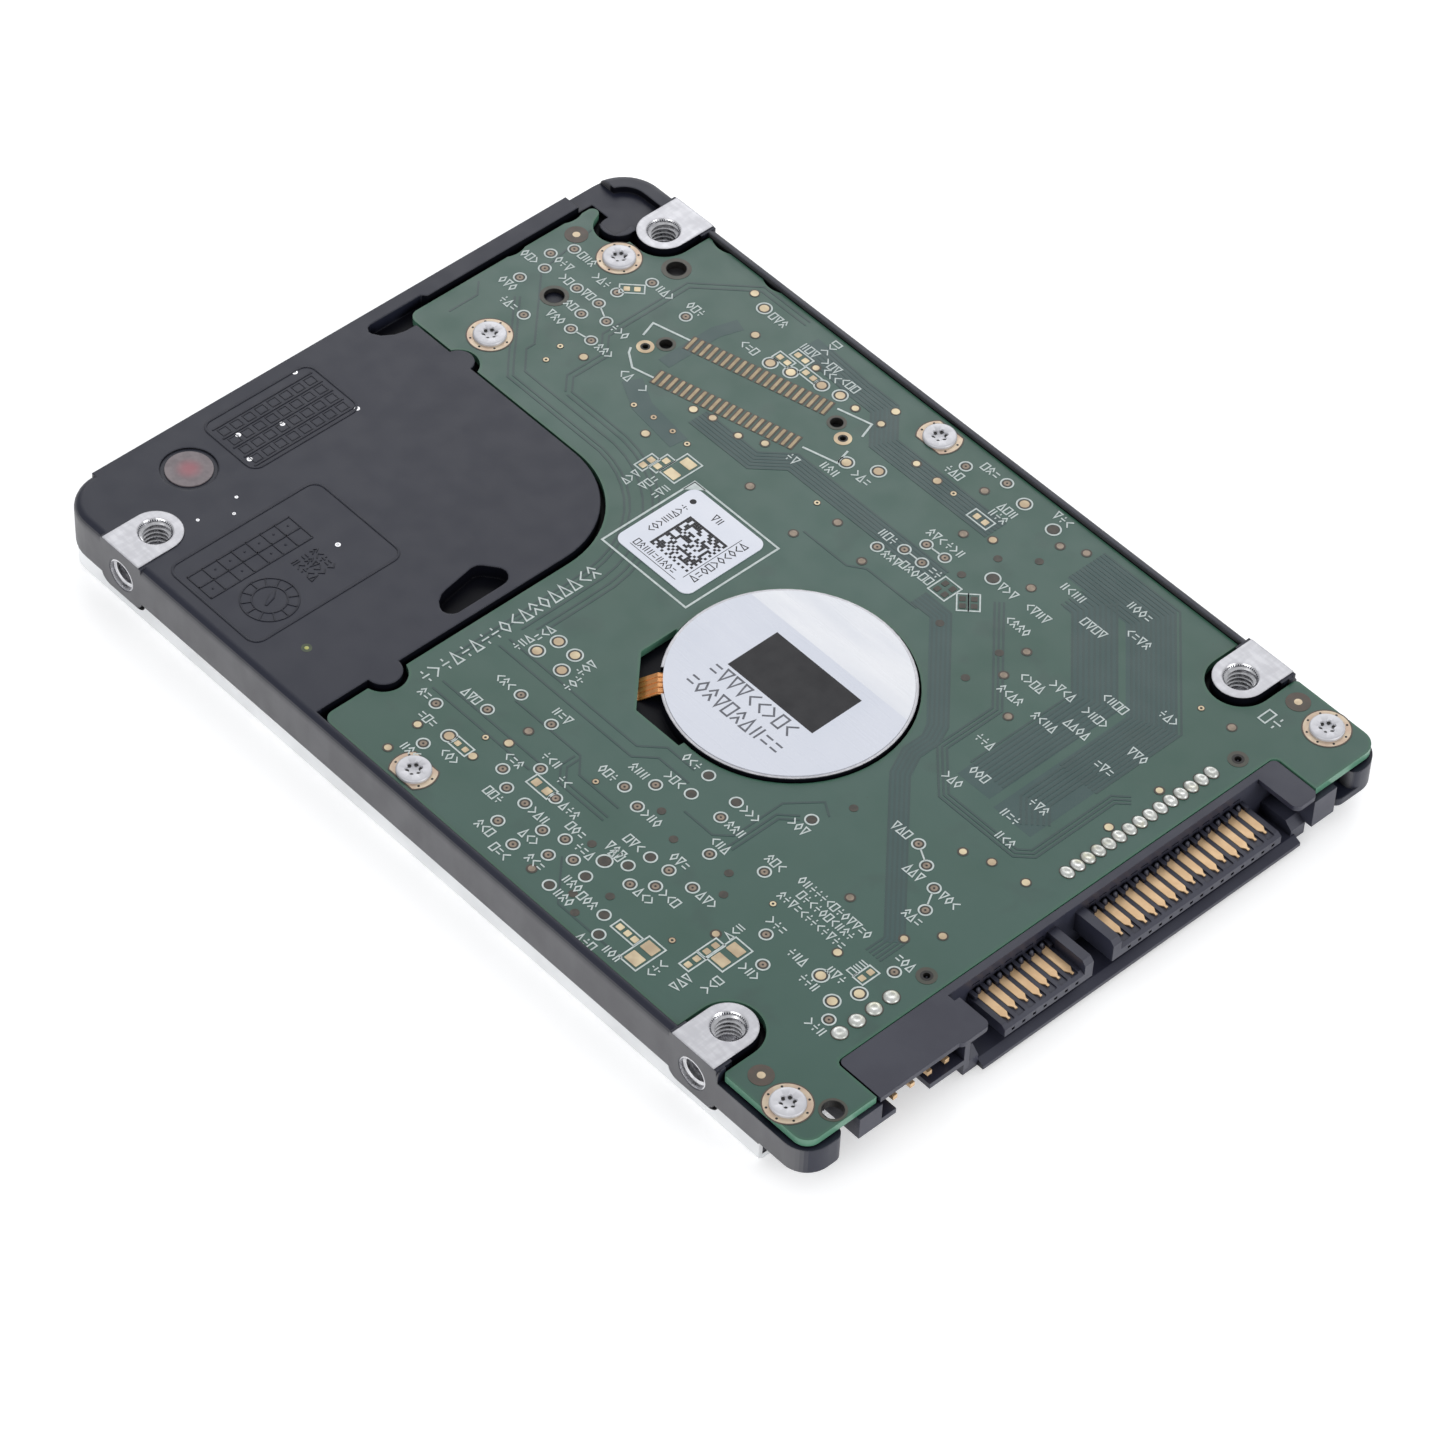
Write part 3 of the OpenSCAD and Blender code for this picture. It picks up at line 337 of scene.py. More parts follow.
def plain(name, colour, other, rough=(0.4, 0.5), metal=0.0, patch=4.0, grain=0.3, depth=2.0, stretch=None,
          rounding=0.0, **more):
    """A finish with a drifting colour, a drifting roughness and a fine grain."""
    m = Material(name, colour, rough[0], metal, **more)
    m.mottle(other, patch)
    m.uneven(patch * 0.7, *rough, stretch)
    m.grain(grain, depth, stretch, rounding)


def casting_material():
    """Black electrocoat over cast aluminium, milled bare on the mounting faces and the motor boss."""
    m = Material("black_casting", (0.012, 0.014, 0.028), specular=0.4)
    coat = m.drift(16, (0.011, 0.013, 0.026), (0.014, 0.016, 0.03), 0.3, 0.7)
    coat = m.blend(m.specks(0.8, 0.07, 0.35), coat, (0.06, 0.06, 0.07))
    coat = m.blend(m.spread(m.edge(0.12), 0.4, 1, 0, 0.25), coat, (0.05, 0.05, 0.06))
    wall = 1.5
    inside = m.times(*(m.under(m.math("ABSOLUTE", m.axis(name)), reach - wall)
                       for name, reach in (("X", CASE_HIGH.x), ("Y", CASE_HIGH.y))))
    # Painted sheen: the long outer walls get a lighter, streaked grey where they would catch the light.
    painted_side_sheen = m.drift(2.5, (0.084, 0.084, 0.091), (0.1, 0.1, 0.108), 0.35, 0.65, 5, (1, 1, 0.3))
    side = m.times(m.spread(m.facing("Y"), 0.6, 0.95), m.math("SUBTRACT", 1.0, inside))
    coat = m.blend(side, coat, painted_side_sheen)
    scratches = m.times(m.noise(0.5, 6, (1, 0.2, 1)), m.noise(0.5, 6, (0.25, 1, 1)))
    milled = m.blend(m.spread(scratches, 0.15, 0.4), (0.5, 0.5, 0.53), (0.6, 0.6, 0.63))
    height = m.axis("Z")
    at_motor = m.under(m.distance_from(SPINDLE), LABEL_R + 0.4)
    bare = m.math("MAXIMUM", m.over(height, PLATEAU_TOP + 0.05),
                  m.times(m.over(height, PLATEAU_TOP - 0.15), at_motor))
    m.put("Base Color", m.blend(bare, coat, milled))
    m.put("Metallic", m.times(bare, 0.5))
    # Painted shade on upright and low faces inside the walls near the board, and in the gaps that ambient
    # occlusion finds.
    sunk = m.math("MAXIMUM", m.under(height, BOARD_LOW), m.under(m.facing("Z"), 0.5))
    painted_pit_shade = m.times(inside, m.over(height, BOARD_LOW - 1.2), sunk, 0.85)
    m.paint_gap_shade(1.8, (0.002, 0.002, 0.003), 0.4, painted_pit_shade)
    m.uneven(2.5, 0.38, 0.46)
    m.grain(0.16, 1.6, rounding=0.25)


def mask_material(name, colour, other, margin=None):
    """Green solder mask over copper and glass cloth, brighter where it thins towards the board's edge."""
    m = Material(name, colour, coat=0.12, coat_rough=0.2)
    base = m.blend(m.specks(2.6, 0.035, 0.75), m.drift(14, colour, other), (0.02, 0.028, 0.026))
    base = m.blend(m.spread(m.noise(5, 4), 0.58, 0.72, 0, 0.3), base, (0.018, 0.045, 0.04))
    base = m.blend(m.specks(1.1, 0.03, 0.25), base, (0.2, 0.22, 0.2))
    if margin:
        base = m.blend(m.edge(0.7), base, margin)
        base = m.blend(m.under(m.facing("Z"), 0.5), base, (0.085, 0.215, 0.145))
    m.put("Base Color", base)
    m.uneven(3, 0.32, 0.44)
    weave = m.times(*(m.node("TexWave", {"bands_direction": way}, Vector=m.place, Scale=260.0,
                             Distortion=0.6).outputs["Fac"] for way in "XY"), 0.3)
    m.relief(m.math("ADD", weave, m.noise(0.6)), 1.5)


def motor_label_material():
    """Metallised film, with a brighter band along its far side that is a painted reflection."""
    m = Material("motor_label_foil", (0.6, 0.63, 0.7), coat=0.15)
    # A brighter band along the label's far side: painted reflection.
    reflection_strip = m.spread(m.axis("Y"), SPINDLE[1] + 4.7, SPINDLE[1] + 4.8)
    base = m.drift(12, (0.605, 0.635, 0.715), (0.645, 0.67, 0.745))
    bright = m.drift(3, (0.7, 0.72, 0.77), (0.8, 0.81, 0.84), 0.3, 0.7, 4, (0.2, 1, 1))
    m.put("Base Color", m.blend(reflection_strip, base, bright))
    m.put("Roughness", m.spread(m.noise(0.8, 6, (0.06, 1, 1)), 0.35, 0.7, 0.24, 0.4))
    m.grain(1.2, 2.0, (0.2, 1, 1))


def solder_material():
    m = Material("solder", (0.66, 0.67, 0.65), metal=0.5)
    m.mottle((0.46, 0.47, 0.43), 0.5, 0.8)
    m.mottle((0.5, 0.47, 0.26), 1.8, 0.45, 0.52, 0.7)
    m.uneven(0.5, 0.28, 0.42)
    m.grain(0.4, 14, detail=2)


def connector_material():
    m = Material("connector_plastic", (0.023, 0.024, 0.041))
    m.mottle((0.03, 0.032, 0.05), 5)
    m.uneven(3.5, 0.38, 0.5)
    m.grain(0.14, 4, rounding=0.08)
    # Painted shade in the connector's gaps and hollows, found by ambient occlusion.
    m.paint_gap_shade(2.2, (0.003, 0.003, 0.005))


def seal_material():
    """A dark membrane that glows a little red in its middle."""
    m = Material("seal_foil", (0.17, 0.145, 0.155))
    far = m.distance_from(middle(*box_mm("breather_seal")))
    rim = m.drift(0.8, (0.16, 0.135, 0.145), (0.2, 0.17, 0.18))
    m.put("Base Color", m.blend(m.spread(far, 0.2, 1.6), (0.3, 0.12, 0.14), rim))
    m.uneven(0.6, 0.45, 0.6)
    m.grain(0.1, 5, rounding=0.05)


def platter_material():
    """A polished disk with circular polish."""
    m = Material("disk_coating", (0.72, 0.73, 0.76), metal=1.0)
    turns = m.times(m.distance_from(SPINDLE), 9.0)
    rings = m.node("TexNoise", {"noise_dimensions": "1D"}, W=turns, Detail=3.0).outputs["Fac"]
    wave = m.spread(rings, 0.3, 0.7)
    m.put("Base Color", m.blend(wave, (0.68, 0.7, 0.74), (0.76, 0.77, 0.79)))
    m.put("Roughness", m.spread(rings, 0.3, 0.7, 0.03, 0.09))
    m.relief(rings, 0.2)


casting_material()
mask_material("board_laminate", (0.021, 0.075, 0.054), (0.028, 0.084, 0.065), (0.026, 0.105, 0.062))
mask_material("mask_over_trace", (0.013, 0.044, 0.042), (0.017, 0.05, 0.048))
mask_material("mask_over_pour", (0.015, 0.054, 0.052), (0.019, 0.061, 0.058))
motor_label_material()
connector_material()
seal_material()
platter_material()
solder_material()
# Plain finishes, with the settings of plain in its order
PLASTIC = dict(patch=5, grain=0.14, depth=2.5, rounding=0.08)
THIN_INK = dict(patch=0.6, grain=0.1)
PAINT = dict(patch=0.5, grain=0.1)
plain("seal_rubber", (0.02, 0.02, 0.02), (0.035, 0.034, 0.033), (0.6, 0.75), **PLASTIC)
plain("stop_rubber", (0.03, 0.03, 0.03), (0.05, 0.045, 0.04), (0.55, 0.7), **PLASTIC)
plain("chip_epoxy", (0.02, 0.02, 0.022), (0.03, 0.03, 0.032), (0.5, 0.65), **PLASTIC)
plain("ramp_plastic", (0.72, 0.66, 0.5), (0.76, 0.7, 0.56), (0.35, 0.45), **PLASTIC)
plain("bracket_plastic", (0.03, 0.03, 0.033), (0.045, 0.045, 0.048), (0.4, 0.55), **PLASTIC)
plain("insulator_film", (0.015, 0.015, 0.016), (0.022, 0.022, 0.024), (0.35, 0.5), patch=6)
plain("label_film", (0.66, 0.68, 0.7), (0.72, 0.73, 0.73), (0.3, 0.42), patch=20, grain=0.5, coat=0.2)
plain("sticker_film", (0.66, 0.69, 0.77), (0.71, 0.73, 0.8), (0.32, 0.42), patch=8, grain=0.4, rounding=0.04,
      coat=0.2)
plain("flex_film", (0.62, 0.27, 0.08), (0.5, 0.2, 0.05), (0.2, 0.3), 0.6, 0.8, 0.2, 3, coat=0.5)
plain("filter_fabric", (0.8, 0.79, 0.74), (0.66, 0.65, 0.6), (0.8, 0.95), 0, 0.4, 0.1, 30, (1, 1, 3))
plain("carbon_filter", (0.03, 0.03, 0.03), (0.08, 0.08, 0.08), (0.8, 0.95), 0, 0.3, 0.12, 40)
plain("passive_parts", (0.42, 0.3, 0.17), (0.55, 0.42, 0.28), (0.4, 0.55), patch=1)
plain("slider_ceramic", (0.1, 0.1, 0.12), (0.14, 0.13, 0.14), (0.2, 0.3), patch=0.5)
plain("bonded_magnet", (0.05, 0.05, 0.055), (0.09, 0.088, 0.085), (0.45, 0.6), patch=0.8)
plain("magnet_nickel", (0.62, 0.62, 0.64), (0.7, 0.7, 0.71), (0.12, 0.22), 1, 2, 0.4, 3, None, 0.1)
plain("yoke_nickel", (0.68, 0.67, 0.64), (0.6, 0.59, 0.57), (0.18, 0.3), 1, 3, 0.3, 3, None, 0.1)
plain("cover_sheet", (0.74, 0.75, 0.76), (0.82, 0.83, 0.84), (0.24, 0.36), 1, 6, 0.25, 1.5, (0.03, 1, 1),
      0.12)
plain("screw_steel", (0.8, 0.8, 0.82), (0.68, 0.68, 0.7), (0.22, 0.34), 1, 1.5, 0.12, 1, None, 0.05)
plain("turned_steel", (0.66, 0.67, 0.69), (0.58, 0.59, 0.61), (0.16, 0.28), 1, 1.2, 0.08, 0.8, (1, 1, 12),
      0.05)
plain("spring_steel", (0.66, 0.66, 0.68), (0.58, 0.58, 0.6), (0.15, 0.25), 1, 1.2, 0.2, 0.8)
plain("hub_aluminium", (0.76, 0.77, 0.79), (0.68, 0.69, 0.71), (0.2, 0.32), 1, 1.6, 0.1, 1, None, 0.06)
plain("milled_aluminium", (0.72, 0.72, 0.74), (0.6, 0.6, 0.62), (0.22, 0.36), 1, 0.6, 0.08, 2)
plain("sleeve_bronze", (0.6, 0.43, 0.22), (0.5, 0.36, 0.2), (0.3, 0.4), 1, 1, 0.1, 1.5)
plain("lamination", (0.3, 0.3, 0.32), (0.22, 0.22, 0.24), (0.4, 0.5), 0.9, 1, 0.1, 6, (1, 1, 20))
plain("copper_wire", (0.72, 0.3, 0.11), (0.6, 0.22, 0.07), (0.25, 0.35), 0.9, 0.8, 0.15, 6, (0.2, 1, 4))
plain("contact_gold", (0.72, 0.5, 0.29), (0.64, 0.43, 0.24), (0.3, 0.4), 0.55, 1.2, 0.2, 1, (0.1, 1, 1),
      0.04)
plain("zinc_plating", (0.54, 0.54, 0.57), (0.6, 0.6, 0.63), (0.4, 0.5), 0.35, 2.5, 0.1, 1)
plain("pad_copper", (0.66, 0.56, 0.37), (0.42, 0.32, 0.21), (0.32, 0.44), 0.35, 3, 0.12, 3)
plain("fiducial_copper", (0.62, 0.51, 0.35), (0.54, 0.43, 0.29), (0.34, 0.44), 0.3, 0.8, 0.12, 2)
plain("header_pad_copper", (0.36, 0.28, 0.17), (0.29, 0.22, 0.13), (0.34, 0.46), 0.3, 0.7, 0.12, 2)
plain("ring_copper", (0.5, 0.37, 0.28), (0.57, 0.47, 0.35), (0.32, 0.42), 0.4, 1.2, 0.15, 3)
plain("dull_copper", (0.2, 0.16, 0.12), (0.28, 0.22, 0.17), (0.32, 0.42), 0.3, 0.6, 0.2, 2)
plain("mask_opening", (0.03, 0.027, 0.02), (0.05, 0.04, 0.03), (0.35, 0.45), patch=0.6)
plain("mask_at_hole", (0.045, 0.05, 0.036), (0.055, 0.048, 0.036), (0.36, 0.44), patch=0.8)
plain("bare_laminate", (0.075, 0.052, 0.04), (0.06, 0.05, 0.038), patch=0.8)
# Near-black, for painted shade in holes and recesses.
plain("via_hollow", (0.008, 0.008, 0.007), (0.014, 0.012, 0.011), (0.5, 0.6), patch=0.3)
plain("dark_ink", (0.009, 0.009, 0.012), (0.014, 0.014, 0.017), (0.36, 0.48), patch=2, specular=0.3)
plain("legend_ink", (0.56, 0.62, 0.61), (0.46, 0.52, 0.51), (0.45, 0.55), **PAINT)
plain("grey_ink", (0.2, 0.21, 0.25), (0.27, 0.28, 0.33), **THIN_INK)
plain("label_ink", (0.085, 0.09, 0.11), (0.12, 0.125, 0.15), **THIN_INK)
plain("paint_dot", (0.45, 0.45, 0.13), (0.36, 0.38, 0.1), **PAINT)
plain("paint_halo", (0.05, 0.07, 0.03), (0.035, 0.05, 0.025), **PAINT)


def dress_frame():
    """Gives every CAD node the finish of its material slot."""
    for part in frame["record"]["subparts"]:
        materials = frame["nodes"][part["node"]].data.materials
        materials.clear()
        materials.append(FINISHES[part["material_slot"]])


# ---------- shapes ----------

def polar(centre, radius, angle):
    return centre[0] + radius * cos(angle), centre[1] + radius * sin(angle)


def circle(centre, radius, count=24, phase=0.0):
    return [polar(centre, radius, phase + tau * i / count) for i in range(count)]


def arc(centre, radius, start, stop, steps=10):
    return [polar(centre, radius, radians(start + (stop - start) * i / steps)) for i in range(steps + 1)]


def turned(points, centre, degrees):
    """Points given from a centre, turned about it."""
    c, s = cos(radians(degrees)), sin(radians(degrees))
    return [(centre[0] + x * c - y * s, centre[1] + x * s + y * c) for x, y in points]


def oblong(centre, width, height, turn=0.0, radius=0.0, steps=4):
    """A rectangle, or one with round corners."""
    points = []
    for i, (sx, sy) in enumerate(((1, 1), (-1, 1), (-1, -1), (1, -1))):
        corner = (sx * (width / 2 - radius), sy * (height / 2 - radius))
        points += arc(corner, radius, 90 * i, 90 * i + 90, steps) if radius else [corner]
    return turned(points, centre, turn)


def beside(path, distance, closed=False):
    """The path moved to its left by a distance, with mitred corners."""
    moved = []
    for i, point in enumerate(path):
        sides = []
        if i > 0 or closed:
            sides.append((path[i - 1], point))
        if i < len(path) - 1 or closed:
            sides.append((point, path[(i + 1) % len(path)]))
        normals = [Vector((a[1] - b[1], b[0] - a[0])).normalized() for a, b in sides]
        half = (normals[0] + normals[-1]).normalized()
        reach = distance / max(0.35, half.dot(normals[0]))
        moved.append((point[0] + half.x * reach, point[1] + half.y * reach))
    return moved


def level(outline, z):
    return [(x, y, z) for x, y in outline]


# Plain signs that stand for print, each as paths in a unit square, and whether these close
SIGNS = [
    ([[(0.5, 0), (1, 0.5), (0.5, 1), (0, 0.5)]], True), ([[(0, 0), (1, 0), (1, 1), (0, 1)]], True),
    ([[(0, 0), (1, 0), (0.5, 1)]], True), ([[(0, 1), (0.5, 0), (1, 1)]], True),
    ([[(0, 0.25), (1, 0.25)], [(0, 0.75), (1, 0.75)]], False),
    ([[(0.2, 0), (0.2, 1)], [(0.8, 0), (0.8, 1)]], False),
    ([[(0, 0), (0.9, 0.5), (0, 1)]], False), ([[(1, 0), (0.1, 0.5), (1, 1)]], False),
    ([[(0, 0.5), (1, 0.5)], [(0.5, 0), (0.5, 0.22)], [(0.5, 0.78), (0.5, 1)]], False),
    ([[(0, 0), (0.5, 0.45), (1, 0)], [(0, 0.55), (0.5, 1), (1, 0.55)]], False),
]
# Width of a sign and distance from one to the next, in its heights
SIGN_WIDTH, SIGN_STEP = 0.56, 0.8
# How far up a dome its rows go, in radians
DOME_END = 1.5


class Shapes:
    """Gathers plates, rings, ribbons and domes, in millimetres, into one mesh."""

    def __init__(self):
        self.verts, self.faces = [], []

    def stack(self, loops, closed=False):
        """A skin over equal loops of points, with its ends capped, or closed on itself."""
        first, count = len(self.verts), len(loops[0])
        for loop in loops:
            self.verts += loop
        for row in range(len(loops) if closed else len(loops) - 1):
            a, b = first + row * count, first + (row + 1) % len(loops) * count
            for i in range(count):
                j = (i + 1) % count
                self.faces.append((a + i, a + j, b + j, b + i))
        if not closed:
            self.faces.append(tuple(range(first + count - 1, first - 1, -1)))
            self.faces.append(tuple(range(len(self.verts) - count, len(self.verts))))

    def plate(self, outline, low, high):
        self.stack([level(outline, low), level(outline, high)])

    def ring(self, outer, inner, low, high):
        self.stack([level(outer, low), level(outer, high), level(inner, high), level(inner, low)], True)

    def round_ring(self, centre, outer, inner, low, high, count=24):
        self.ring(circle(centre, outer, count), circle(centre, inner, count), low, high)

    def disc(self, centre, radius, low, high, count=20):
        self.plate(circle(centre, radius, count), low, high)

    def ribbon(self, path, width, low, high, closed=False):
        left, right = beside(path, width / 2, closed), beside(path, -width / 2, closed)
        self.stack([[(*a, low), (*a, high), (*b, high), (*b, low)] for a, b in zip(left, right)], closed)

    def dome(self, centre, radii, low, height, count=20, rows=5):
        """Rows of loops up to a small cap, which ends just short of a quarter turn."""
        self.stack([[(centre[0] + radii[0] * cos(t) * cos(tau * i / count),
                      centre[1] + radii[1] * cos(t) * sin(tau * i / count), low + height * sin(t))
                     for i in range(count)] for t in (row / rows * DOME_END for row in range(rows + 1))])

    def marks(self, start, count, height, low, high, turn=0.0, stroke=0.14):
        """A row of strokes that stands for small print without spelling anything."""
        for i in range(count):
            paths, closed = chance.choice(SIGNS)
            for path in paths:
                placed = [((i * SIGN_STEP + x * SIGN_WIDTH) * height, y * height) for x, y in path]
                self.ribbon(turned(placed, start, turn), stroke, low, high, closed)

    def piece(self, name, slot, finish=None, smooth=0.0):
        """A piece that rides on the case, with the finish that slot names, or another one."""
        mesh = bpy.data.meshes.new(name)
        mesh.from_pydata([Vector(v) * MM for v in self.verts], [], self.faces)
        bm = bmesh.new()
        bm.from_mesh(mesh)
        bmesh.ops.recalc_face_normals(bm, faces=bm.faces)
        bm.to_mesh(mesh)
        bm.free()
        if smooth:
            mesh.shade_smooth()
            mesh.set_sharp_from_angle(angle=radians(smooth))
        mesh.materials.append(FINISHES[finish or slot])
        obj = add_to_scene(name, mesh)
        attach(obj, "case")
        return obj


def several(count):
    return [Shapes() for _ in range(count)]


# ---------- copper and print on the board ----------

# Paths and widths of the copper areas under the mask
POURS = [
    ([(17, 30.4), (25.4, 30.4), (34.9, 20.9), (34.9, 3.6)], 4.6),
    ([(19.4, 27.2), (21.6, 27.2), (29.7, 19.1), (29.7, 4)], 4.0),
    ([(-20.5, 31), (-13.5, 30.6), (-9.6, 30.6), (-6.4, 27.4), (8.5, 27.4)], 2.6),
    ([(-20, 16.7), (-12.5, 16.7), (-10, 19.4), (9.5, 19.4)], 2.2),
    ([(-26.5, 28), (-27.3, 25.5), (-27.3, 19.0)], 1.5),
    ([(-27.6, 15.3), (-24.4, 13.7), (-18.6, 13)], 2.0),
    ([(10, 16.2), (12.8, 16.2), (22.4, 6.6), (23.3, 5), (23.3, 2.6), (24.6, 0), (38.2, -13.6)], 1.9)]


def around_plateau(path, radius, tail):
    """A path that comes along the plateau's far edge, rounds its corner and runs down beside it."""
    return path + arc((-23.6, -4.9), radius, 85, 5) + tail


# Path of the first of some parallel traces, how many there are, and from one to the next
TRACES = [
    ([(17, 32.8), (26.7, 32.8), (37.3, 22.2), (37.3, 11.5)], 11, 0.44),
    ([(19, 25.4), (20.4, 25.4), (27.5, 18.3), (27.5, 5.8)], 9, -0.5),
    ([(33.2, 13.2), (33.2, 6.4), (35.6, 4)], 6, -0.5),
    ([(14.9, 21), (24.1, 11.8), (24.1, 5), (28.6, 0.9), (37.8, 0.9), (39.2, 2.3), (39.2, 12), (40.2, 13)],
     3, -0.42),
    ([(10, 17), (13.4, 17), (23.2, 7.2), (24.1, 5.2), (24.1, 2.9), (25.1, 0.7), (38.9, -13.1), (38.9, -16)],
     5, 0.42),
    ([(-2.8, 14), (2.9, 14), (4.4, 15.1), (10.9, 15.1)], 1, 0.4),
    ([(-19, 32.2), (-12.9, 31.8), (-9, 31.8), (-5.8, 28.6), (8.5, 28.6)], 7, 0.42),
    ([(-20, 17.7), (-13, 17.7), (-10.4, 20.4), (9.5, 20.4)], 6, 0.42),
    ([(-22.5, 32.6), (-28.6, 32.6), (-33.4, 27.8), (-33.4, 17.6), (-31.4, 15.6), (-31.4, 11.4), (-30, 10)],
     2, 0.6),
    (around_plateau([(-30, 10), (-26, 10)], 14.9, [(-8.7, -7), (-8.7, -12.5)]), 2, 0.6),
    (around_plateau([(-45.4, 26), (-44.2, 18.7), (-38.9, 13.4), (-37.1, 11.6), (-37.1, 10.6), (-34.9, 8.5)],
                    13.4, [(-10.2, -8), (-10.2, -13.5)]), 1, 0.5),
    (around_plateau([(-42.8, 14.8), (-36.6, 8.6), (-35.2, 7.3)], 12.2, [(-11.3, -7), (-11.3, -20)]), 2, 0.5),
    ([(-46.9, 13.2), (-45.6, 11.9), (-45.6, 8.4)], 1, 0.5),
    ([(-10, -15.1), (7, -15.1), (8.9, -13.2), (12.4, -13.2)], 1, 0.5),
    ([(-10, -16.3), (7.6, -16.3), (9.3, -14.6), (13.2, -14.6)], 1, 0.5),
    ([(-4, -19.6), (4.6, -19.6), (6.3, -21.2), (11.4, -21.2)], 1, 0.5),
    ([(4.9, -20), (4.9, -21.4), (6.1, -22.6), (11.6, -22.6)], 2, 0.55),
    ([(-10, -22.9), (3, -22.9)], 2, 1.2),
    ([(24.1, -8), (22.6, -7.1), (20.3, -10), (20.3, -15.8), (19, -17.1), (15.4, -17.1)], 1, 0.5),
    ([(22.7, -10.2), (21.4, -11.5), (21.4, -17)], 2, 0.5),
    ([(12.4, -28.6), (16.2, -32.4), (24, -32.4)], 1, 0.5)]


def add_traces():
    pours, traces = several(2)
    for i, (path, width) in enumerate(POURS):
        pours.ribbon(path, width, *layer(POUR, LAYER_STEP * i))
    for row, (path, count, pitch) in enumerate(TRACES):
        for i in range(count):
            traces.ribbon(beside(path, -pitch * i), 0.2, *layer(TRACE, LAYER_STEP * (row % 4)))
    pours.piece("copper_pours", "board_laminate", "mask_over_pour")
    traces.piece("copper_traces", "board_laminate", "mask_over_trace")


# Test points as (x, y, side its print is on), and pads as (x, y)
VIA_POINTS = [
    (-36.15, 25.5, "R"), (-30.65, 24.8, "U"), (-44.4, 23, "R"), (-45.4, 20.9, "R"), (-44.2, 19.1, "L"),
    (-40.2, 19.6, "l"), (-37.3, 19.8, "l"), (-35, 18.7, "R"), (-37.3, 17.6, "l"), (-36.4, 15.5, "L"),
    (-34, 15.9, "R"), (-44.8, 16.5, "D"), (-40.7, 13.4, "L"), (-37.3, 22.1, "L"), (4.85, 32.35, "L"),
    (0.8, 31, "D"), (3, 17.7, "R"), (4.85, 19.35, "L"), (7.1, 19.4, "D"), (5.7, 21.3, "U"), (8, 21.4, "U"),
    (-4.2, -18.8, "L"), (0.2, -19.1, "U"), (-4.8, -22.2, "L"), (-8.3, -25.15, "l"), (3.55, -23.3, "U"),
    (1.4, -25.8, "U"), (3.3, -27, "D"), (5.7, -27, "R"), (9.05, -27.9, "D"), (9.9, -19.15, "L"),
    (11.5, -16.95, "L"), (-5.4, -29.1, "D"), (5.7, -30.1, "D"), (8.6, -30.9, "D"), (11.1, -27.1, "U"),
    (11.5, -29.4, "D"), (12.35, -19.85, "R"), (20.5, -18.8, "U"), (25.1, -16.6, "U"), (19.6, -22.7, "U"),
    (22.4, -22.5, "R"), (20.2, -24.8, "R"), (18.6, -26.3, "R"), (13.35, -28.15, "U"), (30.4, -21.3, "U"),
    (32.7, -23.8, "D"), (31.45, -4.3, "L"), (33.7, -5.5, "D"), (36, -6.8, "R"), (37.3, -9.1, "D"),
    (40.6, -15.9, "U"), (40.8, -23.7, "D"), (18, -15.2, "R"), (7, -24.6, "R")]
DARK_POINTS = [
    (13.7, -12.7, "L"), (17.6, -13, "R"), (14.3, -15.3, "L"), (23.35, -9.4, "D"), (17.45, -22.9, "L"),
    (16.9, -25, "l"), (15.45, -28.6, "D"), (19.75, -30.3, "L"), (21.1, -32.1, "D"), (14.15, -31.6, "R")]
WIDE_POINTS = [
    (-26.7, 31.2, "R"), (-3.95, 24.45, "D"), (-6.7, 23, "D"), (-13.5, 28.6, "U"), (-15.6, 28.2, "U"),
    (-20.9, 26.6, "L"), (-18.75, 27.2, ""), (7.8, 31.7, "D"), (-6.9, -12, "W"), (-4.7, -12, "E"),
    (-7.3, -14.2, "W"), (-4.1, -14.1, "E"), (-4.6, -26.8, "L"), (36.8, -20.9, "L"), (40.4, -19.8, "L"),
    (39.5, -22.1, "L")]
WIDE_DARK_POINTS = [(15.2, -26.2, "U"), (12.7, 22.9, "R"), (11.85, 31.4, "U")]
JOINED = [((-37.3, 19.8), (-35, 18.7)), ((-36.4, 15.5), (-34, 15.9)), ((4.85, 19.35), (7.1, 19.4)),
          ((5.7, 21.3), (8, 21.4)), ((31.45, -4.3), (33.7, -5.5)), ((36, -6.8), (37.3, -9.1))]
BRIGHT_PADS = [
    (-28.8, 31.9), (-24.6, 28.1), (-8.6, 31.05), (-8.3, 28.9), (-11.35, 28.5), (-2.4, 27.8), (0.45, 27.7),
    (-13.4, 19), (-15.75, 17.8), (-19, 17.6), (-21, 17), (-21.5, 11.5), (-7.45, -28), (-7.05, -31.75),
    (-0.55, -23.4), (9.2, 26.3), (37.1, -0.95), (34.6, -2), (38.45, -12.7), (35.85, -18.05), (40.4, -10),
    (40.7, 16), (40.85, 9.6), (40.7, -0.35), (-32.8, 13.9), (27.55, -24.5), (-1.45, -26.8), (-17.65, 29.4)]
DULL_PADS = [
    (-10.2, 14.2), (-1.6, 17.1), (4.2, 30.1), (6.9, 24.8), (15.8, 24.7), (15.95, 31.6), (13.75, 30.4),
    (-3.2, 13.1), (32.05, -13), (11.75, -31.5), (3.4, 15.4), (21.2, 18.85), (21.9, 15.3), (25.75, 12.1),
    (-0.5, -21.15), (39.6, 26.2)]
DARK_PADS = [
    (13.9, 27.6), (11.2, 25), (10.5, 21.1), (13.6, 15.4), (19.7, 16.9), (19.9, 12.5), (24.75, -5.7),
    (24.7, -21), (16.2, -30.7), (17.9, -32), (18.5, -28.5), (17.2, -20), (14.1, -18.6), (23.2, -19),
    (13, -25.7)]
